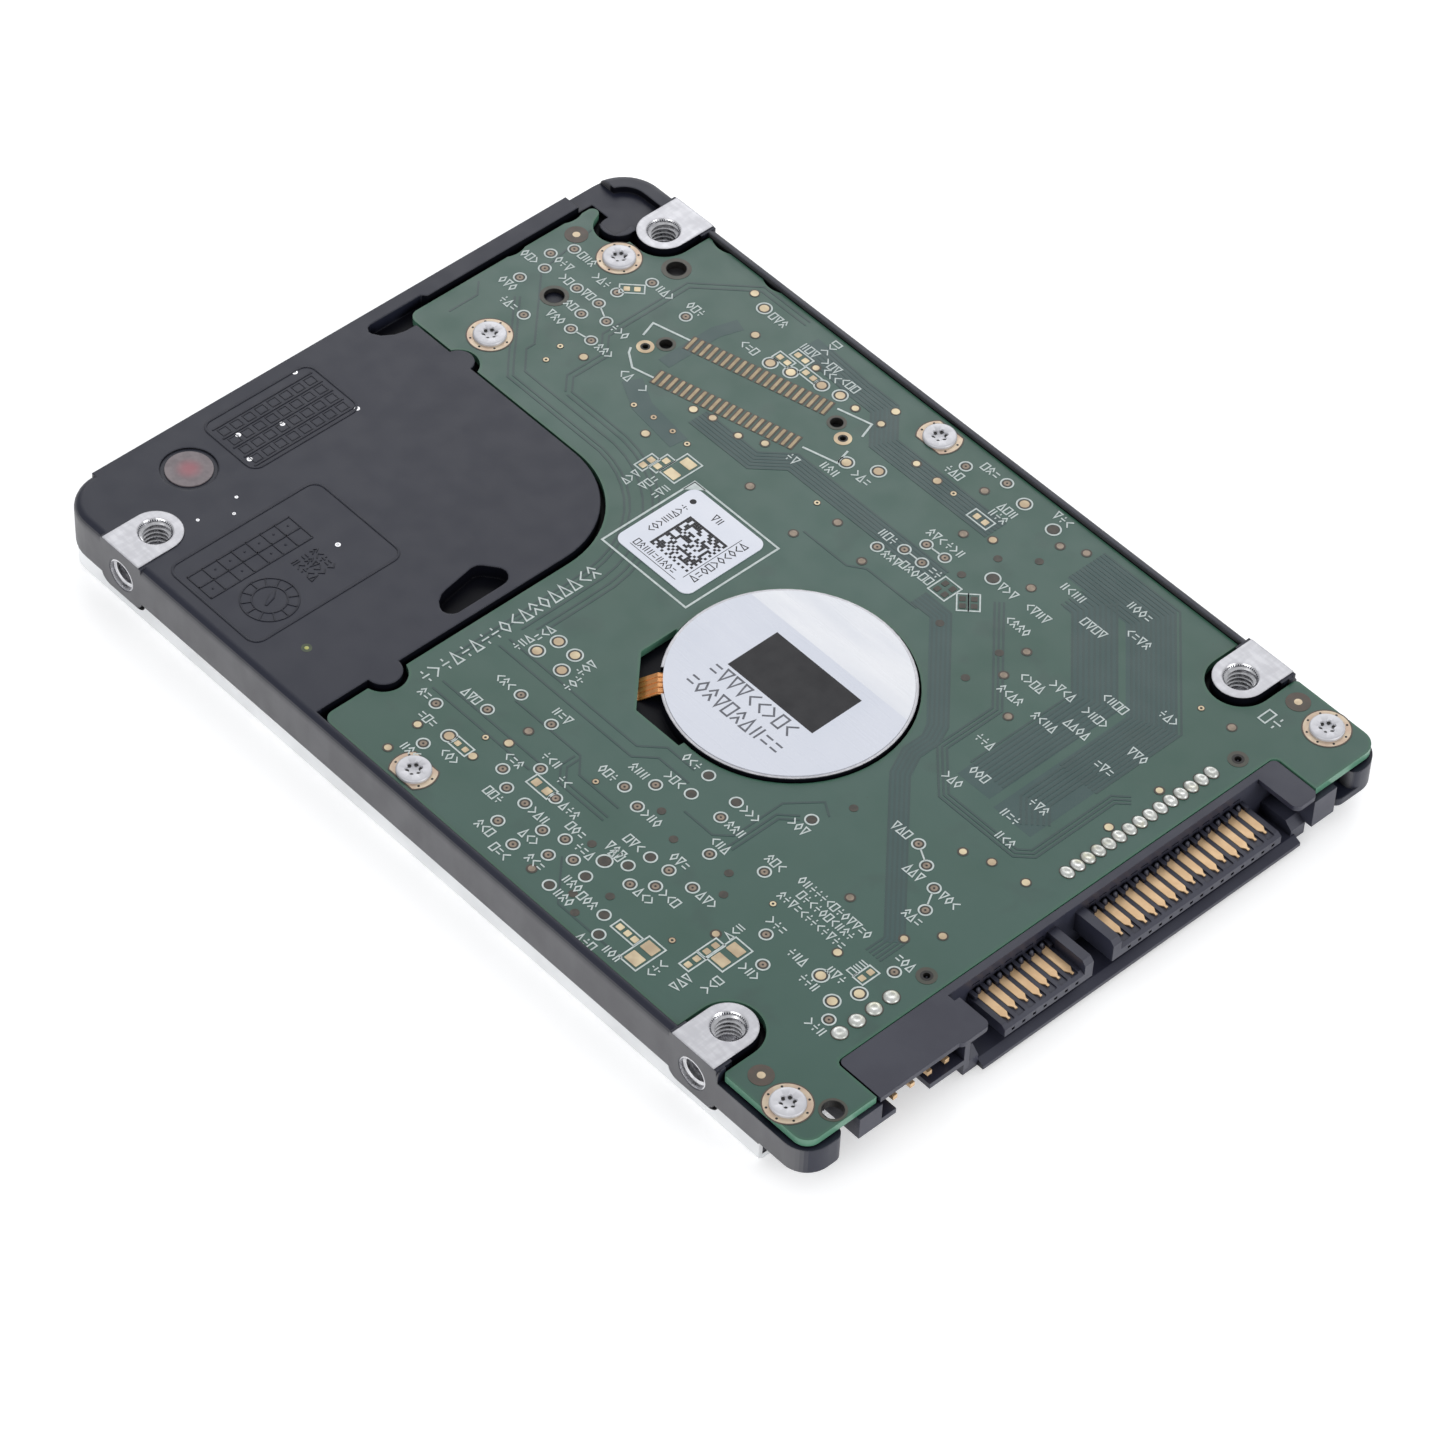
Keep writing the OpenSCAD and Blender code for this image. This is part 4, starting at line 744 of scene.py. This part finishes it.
SMALL_VIAS = [
    (-35.3, 13.2), (-25, 13.2), (-22.6, 13.5), (-20.1, 13.6), (-18, 13.5), (-34.8, 11), (2.6, 27.7),
    (-4.65, 17.4), (-2.4, -24.5), (28.25, -18.5), (25.65, -27.8), (36.2, 25.8), (7.8, -20.65)]
# Unfilled footprints: middle, outline size, turn, and the pads in it as (x, y, width, height)
STACKED = [(0, 0.5, 0.6, 0.6), (0, -0.5, 0.6, 0.6)]
ABREAST = [(-0.5, 0, 0.6, 0.6), (0.5, 0, 0.6, 0.6)]
FOOTPRINTS = [
    ((-16, 10.9), (2.05, 3.5), 0, [(0, 0.95, 1.4, 1), (0, -1.05, 1.4, 1)]),
    ((-17.6, 10), (1.1, 2.4), 0, [(0, 0.55, 0.65, 0.65), (0, -0.5, 0.65, 0.65)]),
    ((-18.6, 9.1), (1.1, 2.2), 0, [(0, 0.5, 0.65, 0.65), (0, -0.5, 0.65, 0.65)]),
    ((6.6, 27.3), (2.5, 1.25), 0, [(-0.5, 0, 0.6, 0.65), (0.55, 0, 0.6, 0.65)]),
    ((5.2, -24.6), (2.7, 1.35), 0, [(-0.7, 0, 0.75, 0.8), (0.68, 0, 0.75, 0.8)]),
    ((-2.95, -26.8), (2.1, 1.2), 0, [(-0.5, 0, 0.55, 0.55), (0.5, 0, 0.55, 0.55)]),
    ((30, -25.2), (2.1, 3.5), 0, [(0, 0.8, 1.5, 1.05), (0, -0.95, 1.5, 1.05)]),
    ((28.5, -25.9), (1.15, 2.2), 0, STACKED), ((28.55, -28.1), (1.2, 2), 0, STACKED),
    ((25.1, -30.7), (2.1, 3.5), 0, [(0, 0.9, 1.5, 1.1), (0, -0.85, 1.5, 1.2)]),
    ((22.5, -30.15), (2.9, 1.15), 0, [(-0.85, 0, 0.65, 0.6), (0.1, 0, 0.6, 0.6), (1, 0, 0.65, 0.6)]),
    ((39.3, -17.95), (1.2, 2), 0, STACKED), ((-36.75, 23.5), (2.4, 1.15), 45, ABREAST),
    ((-19.5, 29.3), (2.1, 1.15), 0, ABREAST), ((-20.4, 27.85), (2.1, 1.1), 0, ABREAST),
    ((-17.3, 28.25), (2.1, 1.1), 0, ABREAST)]
DARK_FOOTPRINTS = [
    ((10.8, 18.7), (2.1, 2.25), 0, [(x, y, 0.55, 0.65) for y in (0.5, -0.5) for x in (-0.45, 0.5)]),
    *((spot, (1.05, 2.1), 45, [(0, y, 0.6, 0.6) for y in (0.45, -0.45)])
      for spot in ((13.05, 18.75), (13.8, 19.5)))]
# Rows of small print that belong to no test point: signs, height and turn, and where such rows start
PRINT_ROWS = [
    (4, 0.9, 0, [(23, 29.6), (25.3, 27.1), (17.4, 26.7), (21.7, 25), (17.1, 22.5), (17.1, 20), (29.5, 19.9),
                 (25.4, 17.5), (29.6, 17.4), (22.9, 16.1), (29.5, 15.2), (22.7, 13.6), (27, 13.6)]),
    (3, 0.9, 0, [(25.6, 8), (28.1, 4.9), (34.2, 22.3), (35.6, 17), (34.7, 13.7), (34.2, 6.2), (33.4, 3.5),
                 (27, 2.7), (35, 1.3)]),
    (18, 1.45, 90, [(-10.65, -24.1)]), (2, 1.5, 0, [(40.3, 28.8)]), (13, 0.85, 0, [(27.7, -15.2)]),
    (10, 0.85, 0, [(28.9, -16.4)]), (12, 0.85, 0, [(27.8, -17.7)]), (2, 0.9, 0, [(-10.9, 19.1)]),
    (2, 1, 0, [(-29.1, 14.8)]), (1, 1, 0, [(-26.2, 14.8)]), (3, 0.9, -90, [(-19.1, 33.3)]),
    (3, 0.9, 0, [(-20.7, 30.1), (-17.8, 30.2)]), (3, 0.85, -90, [(-17, 8.4), (-15.4, 8.4), (-18.6, 7.6)]),
    (3, 0.9, -90, [(31.1, -27.6), (29.2, -29.4), (26.7, -30)]), (3, 0.85, -90, [(28, -22.2), (37.8, -17)]),
    (3, 0.85, 0, [(22.5, -33.1)]), (2, 0.9, 0, [(5.4, -23.2)]), (3, 0.9, 0, [(-3.7, -28.8), (6.4, 28.3)]),
    (2, 0.9, 0, [(8.2, 19), (8.2, 17.8)])]
# Where the print beside a test point starts, its turn and its number of signs. L, R, U and D are its sides,
# l is a short one on the left, and W and E run across the board on its left and right.
PRINT_PLACES = {
    "R": (0.9, -0.45, 0, 3), "L": (-3.1, -0.45, 0, 3), "U": (-1.1, 0.95, 0, 3), "D": (-1.1, -1.85, 0, 3),
    "l": (-2.15, -0.4, 0, 2), "W": (-0.95, -1.05, 90, 3), "E": (1.9, -1.05, 90, 3)}
POINT_R, WIDE_POINT_R, WIDE_DARK_POINT_R = 0.66, 0.8, 0.78
# How far a via's dark middle and a hole's dark wall, both painted shade, stand over what is round them
VIA_RISE, WALL_RISE = 0.004, 0.003


def add_test_points():
    legend, openings, pads, dull, hollows = several(5)
    for points, ring, pad in ((VIA_POINTS, POINT_R, 0.32), (DARK_POINTS, POINT_R, 0.0),
                              (WIDE_POINTS, WIDE_POINT_R, 0.46), (WIDE_DARK_POINTS, WIDE_DARK_POINT_R, 0.0)):
        for x, y, side in points:
            legend.round_ring((x, y), ring, ring - 0.15, *layer(PRINT), 32)
            openings.disc((x, y), ring - 0.2, *layer(BARE))
            if pad:
                (pads if points is WIDE_POINTS else dull).disc((x, y), pad, *layer(PAD))
            if points is VIA_POINTS:
                # The via's near-black middle is painted shade of its hole.
                hollows.disc((x, y), 0.11, *layer(PAD, VIA_RISE), 12)
            if side:
                across, along, turn, count = PRINT_PLACES[side]
                start = (x + across * ring / POINT_R, y + along * ring / POINT_R)
                legend.marks(start, count, 0.9, *layer(PRINT), turn, 0.125)
    for a, b in JOINED:
        along = (Vector(b) - Vector(a)).normalized() * 0.6
        legend.ribbon([Vector(a) + along, Vector(b) - along], 0.15, *layer(PRINT))
    for count, height, turn, starts in PRINT_ROWS:
        for start in starts:
            legend.marks(start, count, height, *layer(PRINT), turn, 0.08 + 0.045 * height)
    for group, shapes in ((BRIGHT_PADS, pads), (DULL_PADS, dull)):
        for spot in group:
            shapes.disc(spot, chance.uniform(0.33, 0.4), *layer(PAD))
            openings.disc(spot, 0.52, *layer(BARE))
    for spot in DARK_PADS:
        openings.disc(spot, 0.42, *layer(BARE))
    for spot in SMALL_VIAS:
        pads.round_ring(spot, 0.28, 0.13, *layer(PAD), 16)
        openings.disc(spot, 0.36, *layer(BARE), 16)
        # Near-black middle: painted shade of the via's hole.
        hollows.disc(spot, 0.13, *layer(BARE, WALL_RISE), 12)
    for group, metal in ((FOOTPRINTS, pads), (DARK_FOOTPRINTS, openings)):
        for centre, size, turn, lands in group:
            legend.ring(*(oblong(centre, size[0] + line, size[1] + line, turn) for line in (0.14, -0.14)),
                        *layer(PRINT))
            for x, y, width, height in lands:
                land = oblong(turned([(x, y)], centre, turn)[0], width, height, turn, 0.08, 2)
                metal.plate(land, *layer(PAD))
    legend.piece("board_legend", "label_film", "legend_ink")
    openings.piece("mask_openings", "board_laminate", "mask_opening")
    pads.piece("bright_pads", "contact_gold", "pad_copper")
    dull.piece("dull_pads", "contact_gold", "dull_copper")
    hollows.piece("via_hollows", "chip_epoxy", "via_hollow")


# The board's holes: middle, radius, and width of the ring round it
HOLES_IN_BOARD = [
    ((-36.1, 28.55), 1.0, 0.45), ((-40.8, 17.3), 1.0, 0.4), ((48.15, -30.1), 1.0, 0.25),
    ((-29.1, 20.9), 0.65, 0.3), ((-11.1, 25.9), 0.65, 0.3), ((42.6, 23.9), 0.45, 0.5),
    ((42.7, -14.1), 0.45, 0.5)]
LOCATING_HOLES = [(-30.1, 19.2), (-9.2, 24.9)]
SUPPORT = (-40.8, 17.3)


def add_header_pads():
    """Two tilted rows of pads over the connector that faces the disk side, and the print around it."""
    tilt, pitch = 14.6, 0.792
    pads, bed, legend, rings = several(4)
    for first in ((-27.65, 22.75), (-26.3, 17.35)):
        for i in range(20):
            spot = turned([(pitch * i, 0)], first, tilt)[0]
            pads.plate(oblong(spot, 0.3, 1.85, tilt, 0.14, 3), *layer(PAD, 0.01))
            bed.plate(oblong(spot, 0.62, 2.0, tilt), *layer(BARE))
    for path in ([(-28, 22.95), (-32, 21.9), (-31.4, 20.1)], [(-12.4, 27.2), (-8.8, 28.2), (-8.2, 26.4)],
                 [(-10.8, 21.3), (-7.2, 22.3), (-7.7, 24.1)],
                 [(-26.5, 17), (-28.8, 16.4), (-30.5, 17.5), (-30.9, 18.1)]):
        legend.ribbon(path, 0.2, *layer(PRINT))
    for spot in LOCATING_HOLES:
        rings.round_ring(spot, 0.86, 0.45, *layer(PAD), 28)
    pads.piece("header_pads", "contact_gold", "header_pad_copper")
    bed.piece("header_pad_bed", "board_laminate", "bare_laminate")
    legend.piece("header_legend", "label_film", "legend_ink")
    rings.piece("locating_hole_rings", "contact_gold", "pad_copper")


def add_fiducials():
    dark, bright = several(2)
    for spot in ((-45.8, 24.5), (41.3, 32.9), (41.5, -32.1)):
        dark.disc(spot, 1.15, *layer(BARE), 32)
        bright.dome(spot, (0.68, 0.68), BOARD_TOP + SUNK, 0.06, 28, 3)
    dark.piece("fiducial_openings", "board_laminate", "bare_laminate")
    bright.piece("fiducials", "contact_gold", "fiducial_copper", smooth=30)


def add_board_holes():
    """A browned ring round each hole, a near-black wall in it that is painted shade, and the connector's
    pegs.
    """
    rings, walls, pegs, support = several(4)
    wall_top = BOARD_TOP + BARE + WALL_RISE
    for spot, radius, margin in HOLES_IN_BOARD:
        rings.round_ring(spot, radius + margin, radius, *layer(BARE), 36)
        peg = radius < 0.5
        outer, inner = (0.13, 0.12) if peg else (0.02, 0.03)
        # Painted shade lining the hole's wall and the gap round a peg.
        walls.round_ring(spot, radius + outer, radius - inner, BOARD_LOW, wall_top, 36)
        if peg:
            pegs.dome(spot, (0.31, 0.31), BOARD_LOW - 0.1, BOARD_TOP + SUNK - BOARD_LOW, 20, 6)
    for spot in LOCATING_HOLES:
        # Painted shade in the locating holes.
        walls.round_ring(spot, 0.48, 0.3, BOARD_LOW, BOARD_TOP + PAD + WALL_RISE, 24)
    support.disc(SUPPORT, 1.0, BOARD_LOW - 0.1, BOARD_TOP - 0.45, 36)
    support.piece("board_support", "black_casting")
    rings.piece("hole_rings", "board_laminate", "mask_at_hole")
    walls.piece("hole_walls", "board_laminate", "via_hollow")
    pegs.piece("connector_pegs", "connector_plastic", smooth=40)


# ---------- screws and solder ----------

def screw_head(shapes, centre, radius, base, top, lobe_r, depth):
    """A pan head with a rounded rim, a six-lobed recess and its shank. It faces down if top < base."""
    up = 1 if top > base else -1
    count = 72

    def lobed(r, z, lobes=0.0):
        angles = [tau * i / count for i in range(count)]
        return [(*polar(centre, r + lobes * cos(6 * a), a), z) for a in angles]

    shank, wave = radius * 0.47, 0.15 * lobe_r
    shapes.stack([lobed(r, z, *lobes) for r, z, *lobes in (
        (shank, base - up * 2.4), (shank, base), (radius, base), (radius, top - up * 0.14),
        (radius - 0.04, top - up * 0.06), (radius - 0.12, top - up * 0.015), (radius - 0.2, top),
        (lobe_r + 0.08, top, 0.08 * lobe_r), (lobe_r, top - up * 0.05, wave),
        (lobe_r - 0.03, top - up * depth, wave), (0.12, top - up * (depth + 0.06)))])


def add_screws():
    """Heads in place of the screws of both sides, and the copper round those on the board."""
    heads, rings, beds, via_and_recess_shade, under = several(5)
    ring_r, bed_r, board_edge = 2.15, 2.28, 33.3
    for spot in (middle(*screw) for screw in solids("board_screws")):
        screw_head(heads, spot, 1.61, BOARD_TOP + 0.045, BOARD_TOP + 0.35, 0.7, 0.26)
        limit = board_edge - abs(spot[1]) if abs(spot[1]) < 32 else ring_r
        for shapes, radius, face in ((beds, bed_r, BARE), (rings, ring_r, PAD)):
            reach = min(radius, limit + radius - ring_r)
            outer = [(spot[0] + x, spot[1] + max(-reach, min(reach, y)))
                     for x, y in circle((0, 0), radius, 48)]
            shapes.ring(outer, circle(spot, 0.95, 48), *layer(face))
        # Near-black via middles round the pad: painted shade of their holes.
        for via in circle(spot, 1.88, 8, 0.3):
            if abs(via[1] - spot[1]) < limit - 0.15:
                via_and_recess_shade.disc(via, 0.12, *layer(PAD, VIA_RISE), 12)
        # Dark discs at the bottom of the recess's six lobes: painted shade.
        for lobe in circle(spot, 0.6, 6):
            via_and_recess_shade.disc(lobe, 0.17, BOARD_TOP + 0.05, BOARD_TOP + 0.14, 12)
    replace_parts(heads.piece("board_screw_heads", "screw_steel", "zinc_plating", 40), "board_screws")
    rings.piece("screw_pad_rings", "contact_gold", "ring_copper")
    beds.piece("screw_pad_beds", "board_laminate", "bare_laminate")
    via_and_recess_shade.piece("screw_pad_via_and_recess_shade", "chip_epoxy", "via_hollow")
    face = box_mm("cover_screws")[0].z
    for spot in (middle(*screw) for screw in solids("cover_screws")):
        screw_head(under, spot, 1.95, 0.4, face, 0.75, 0.2)
    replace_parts(under.piece("cover_screw_heads", "screw_steel", smooth=40), "cover_screws")


def add_solder():
    """A joint over every tail that comes through the board, each a little different."""
    domes, rims = several(2)
    count, rows, end = 28, 9, 1.52
    tails = [(low, high) for low, high in CONTACTS if high.z > BOARD_TOP]
    for low, high in tails + JUMPERS:
        jumper = low.z < 4.3
        radii = (0.72, 0.72) if jumper else (0.72, 0.57)
        spot = (low.x + 0.2, (low.y + high.y) / 2)
        wander = [chance.uniform(-1, 1) for _ in range(6)]
        loops = []
        for row in range(rows + 1):
            t = row / rows * end
            rise = (0.34 + 0.05 * wander[4]) * sin(t) ** 0.8 - 0.1 * exp(-((t - end) / 0.35) ** 2)
            loops.append([(
                spot[0] + radii[0] * cos(t) * (1 + 0.03 * wander[0] * cos(3 * a)) * cos(a)
                + 0.05 * wander[1] * sin(t),
                spot[1] + radii[1] * cos(t) * (1 + 0.03 * wander[2] * sin(2 * a)) * sin(a)
                + 0.05 * wander[3] * sin(t),
                BOARD_TOP + SUNK + rise) for a in (tau * i / count for i in range(count))])
        domes.stack(loops)
        rim = [(spot[0] + 1.12 * radii[0] * x, spot[1] + 1.12 * radii[1] * y)
               for x, y in circle((0, 0), 1, count)]
        rims.plate(rim, *layer(BARE))
    domes.piece("solder_joints", "screw_steel", "solder", 60)
    rims.piece("solder_pads", "board_laminate", "mask_opening")


# ---------- labels ----------

def add_motor_label_print():
    x, y = SPINDLE
    span = LABEL_HIGH.z - INK_SUNK, LABEL_HIGH.z + INK
    window, rows = several(2)
    window.plate(oblong((x + 0.35, y + 0.3), 11, 6), *span)
    window.piece("motor_label_window", "motor_label_foil", "dark_ink")
    rows.marks((x - 5.8, y - 4.6), 9, 1.5, *span, 0, 0.2)
    rows.marks((x - 6.2, y - 7), 10, 1.5, *span, 0, 0.2)
    rows.piece("motor_label_print", "motor_label_foil", "label_ink")


def add_sticker_print():
    """A made-up pattern of squares, rows of print and a printed frame round the sticker."""
    dark, around = several(2)
    left, right, near, far = STICKER_LOW.x, STICKER_HIGH.x, STICKER_LOW.y, STICKER_HIGH.y
    span = STICKER_HIGH.z - INK_SUNK, STICKER_HIGH.z + 0.005
    cell, across, filled = 0.28, 18, 0.97
    for i in range(across):
        for j in range(across):
            border = i == 0 or j == across - 1
            timing = (i == across - 1 or j == 0) and (i + j) % 2
            if border or timing or (0 < i < across - 1 and 0 < j < across - 1 and chance.random() < 0.48):
                spot = (left + 2.55 + (i + 0.5) * cell, near + 2.1 + (j + 0.5) * cell)
                dark.plate(oblong(spot, cell * filled, cell * filled), *span)
    dark.disc((left + 1.35, far - 1.45), 0.32, *span)
    for start, count, height, turn, stroke in (
            (((left + right) / 2 - 0.9, far - 1.75), 2, 0.8, 0, 0.11),
            ((left + 1, far - 2.3), 8, 0.75, -90, 0.1), ((right - 1.7, far - 1.6), 10, 0.85, -90, 0.11),
            ((left + 1.6, near + 0.95), 9, 0.75, 0, 0.1)):
        dark.marks(start, count, height, *span, turn, stroke)
    dark.ribbon([(right - 1.95, near + 1.4), (right - 1.95, far - 1.4)], 0.07, *span)
    dark.ribbon([(left + 1.5, near + 0.7), (right - 2.2, near + 0.7)], 0.07, *span)
    dark.piece("sticker_print", "sticker_film", "dark_ink")
    left, right, near, far = left - 0.5, right + 0.95, near - 0.9, far + 0.45
    around.ribbon([(left, near), (right, near), (right, far), (left, far)], 0.2, *layer(PRINT), True)
    around.plate([(left, far), (left, far - 1.5), (left + 1.5, far)], *layer(PRINT))
    around.piece("sticker_frame", "label_film", "legend_ink")


def add_cover_print():
    """The cover's label: plain panels, rules and stripes, with no words."""
    low, high = box_mm("cover_label")
    span = low.z - 0.004, low.z + 0.01
    dark, grey = several(2)
    left, right, near, far = low.x + 3, high.x - 3, low.y + 3, high.y - 3
    grey.ribbon([(left, near), (right, near), (right, far), (left, far)], 0.5, *span, True)
    dark.plate(oblong((left + 16, far - 7), 26, 7, 0, 1), *span)
    dark.plate(oblong((right - 11, near + 11), 16, 16, 0, 1), *span)
    for row in range(9):
        grey.marks((left + 3, near + 4 + 2.6 * row), 15 + chance.randrange(5), 1.3, *span, 0, 0.16)
    x = left + 32
    while x < right - 3:
        width = chance.choice((0.25, 0.4, 0.7))
        dark.plate(oblong((x, far - 6), width, 6), *span)
        x += width + chance.choice((0.3, 0.45, 0.6))
    dark.piece("cover_label_panels", "label_film", "dark_ink")
    grey.piece("cover_label_print", "label_film", "grey_ink")


# ---------- details of the casting ----------

def add_threads():
    """The mounting holes' threads, each a helical ridge in a bright sleeve with a countersunk mouth."""
    ridges, sleeves = several(2)
    pitch, steps, ridge, start = 0.5, 28, 0.27, 0.3
    root, skin = HOLE_R - 0.005, HOLE_R - 0.008
    holes = [((x, s * HOLE_Y, CASE_HIGH.z), (0, 0, 1), 2.75, 0.17) for x in HOLE_X for s in (-1, 1)]
    holes += [((x, s * CASE_HIGH.y, SIDE_HOLE_Z), (0, s, 0), 2.15, 0.04) for x in HOLE_X for s in (-1, 1)]
    across = Vector((1, 0, 0))
    for mouth, out, depth, lip in holes:
        out = Vector(out)
        other = out.cross(across)

        def point(radius, angle, deep):
            return tuple(Vector(mouth) + (across * cos(angle) + other * sin(angle)) * radius - out * deep)

        loops = []
        for i in range(int((depth - 0.45) / pitch * steps)):
            angle, deep = tau * i / steps, start + pitch * i / steps
            tip = HOLE_R - 0.01 - ridge * min(1.0, i / steps * 2)
            loops.append([point(root, angle, deep - 0.19), point(tip, angle, deep - 0.05),
                          point(tip, angle, deep + 0.05), point(root, angle, deep + 0.19)])
        ridges.stack(loops)
        rows = [(HOLE_R + lip, 0.005), (skin, 0.19), (skin, depth), (0.4, depth + 0.1), (0.4, depth + 0.25),
                (HOLE_R + 0.2, depth + 0.2), (HOLE_R + 0.25, 0.1)]
        sleeves.stack([[point(r, tau * i / 48, d) for i in range(48)] for r, d in rows], True)
    ridges.piece("hole_threads", "hub_aluminium", "milled_aluminium", 35)
    sleeves.piece("hole_sleeves", "hub_aluminium", "milled_aluminium", 35)


def add_casting_marks():
    """Lines, squares and a dial cast into the plateau, with nothing written on them."""
    raised, bare, halo, dot = several(4)
    low, high = PLATEAU_TOP - 0.03, PLATEAU_TOP + 0.05

    def frame_line(centre, width, height, radius):
        thick = 0.22
        raised.ring(oblong(centre, width, height, 0, radius, 6),
                    oblong(centre, width - 2 * thick, height - 2 * thick, 0, radius - thick * 0.9, 6),
                    low, high)

    frame_line((-44.6, -12.8), 7.9, 13.0, 1.2)
    for i in range(5):
        x = -47.3 + 1.52 * i
        raised.ribbon([(x, -18.7), (x, -6.9)], 0.16, low, high)
    for i in range(4):
        for j in range(8):
            centre = (-46.54 + 1.52 * i, -17.9 + 1.46 * j)
            raised.ring(oblong(centre, 1.0, 1.05), oblong(centre, 0.8, 0.85), low, high - 0.015)
    frame_line((-30, -24.3), 12.6, 17.6, 1.3)
    left, right, far, row_step = -34.2, -30.8, -20.5, 1.68
    for x in (left, -32.5, right):
        raised.ribbon([(x, -32.3), (x, far)], 0.16, low, high)
    for j in range(8):
        raised.ribbon([(left, far - row_step * j), (right, far - row_step * j)], 0.12, low, high)
    for i in range(2):
        for j in range(7):
            if chance.random() < 0.6:
                raised.dome((-33.35 + 1.7 * i, -21.3 - row_step * j), (0.14, 0.14), low, 0.08, 10, 3)
    dial = (-27.3, -28.4)
    raised.round_ring(dial, 2.75, 2.6, low, high, 48)
    raised.round_ring(dial, 1.7, 1.56, low, high, 40)
    for i in range(12):
        raised.ribbon(turned([(1.7, 0), (2.65, 0)], dial, 30 * i), 0.1, low, high)
    pointer = [(1.3, 0), (0.35, 0.3), (-0.8, 0.12), (-0.8, -0.12), (0.35, -0.3)]
    raised.plate(turned(pointer, dial, 115), low, high)
    for row in range(3):
        raised.marks((-29.6, -21.9 - 1.1 * row), 5, 0.8, low, high, 0, 0.1)
    raised.piece("casting_marks", "black_casting")
    for spot in ((-48.3, -8.1), (-40.9, -6.8), (-43.8, -13.3), (-45.3, -17.3), (-42.2, -18.5), (-39.2, -22.5),
                 (-37.7, -24), (-39.2, -27), (-28.6, -19.4)):
        size = 0.17 if -40 < spot[0] < -30 else 0.27
        core = size * 0.45
        bare.round_ring(spot, size, core, low, PLATEAU_TOP + 0.02, 16)
        bare.dome(spot, (core, core), low, 0.06, 10, 3)
    bare.piece("ejector_marks", "hub_aluminium", "milled_aluminium")
    inspected = (-20.6, -29.7)
    halo.disc(inspected, 0.5, low, PLATEAU_TOP + 0.008, 28)
    halo.piece("inspection_dot_halo", "label_film", "paint_halo")
    dot.dome(inspected, (0.27, 0.27), low, 0.06, 20, 4)
    dot.piece("inspection_dot", "label_film", "paint_dot", 40)


# ---------- the connector ----------

def add_connector_details():
    """Rounded teeth behind the contacts, and a bar behind these."""
    teeth = Shapes()
    back_x, pitch, tongue = 45.35, 1.27, 4.5
    low = tongue + SUNK
    for side in (-1, 1):
        rows = sorted(a.y + (b.y - a.y) / 2 for a, b in CONTACTS if a.y * side > 0)
        for y in rows + [rows[-1] + pitch]:
            teeth.plate(oblong((back_x + 0.45, y - pitch / 2), 0.95, 0.42, 0, 0.2, 4), low, tongue + 0.42)
        for y in rows:
            teeth.dome((back_x + 0.32, y), (0.3, 0.34), tongue, 0.6, 16, 5)
        bar = oblong((back_x - 0.26, (rows[0] + rows[-1]) / 2), 0.6, rows[-1] - rows[0] + 1.2, 0, 0.1, 2)
        teeth.plate(bar, low, tongue + 0.85)
    teeth.piece("contact_teeth", "connector_plastic", smooth=40)


for step in (add_camera, add_studio, dress_frame, add_traces, add_test_points, add_header_pads,
             add_fiducials, add_board_holes, add_screws, add_solder, add_motor_label_print,
             add_sticker_print, add_cover_print, add_threads, add_casting_marks, add_connector_details,
             add_floor):
    step()
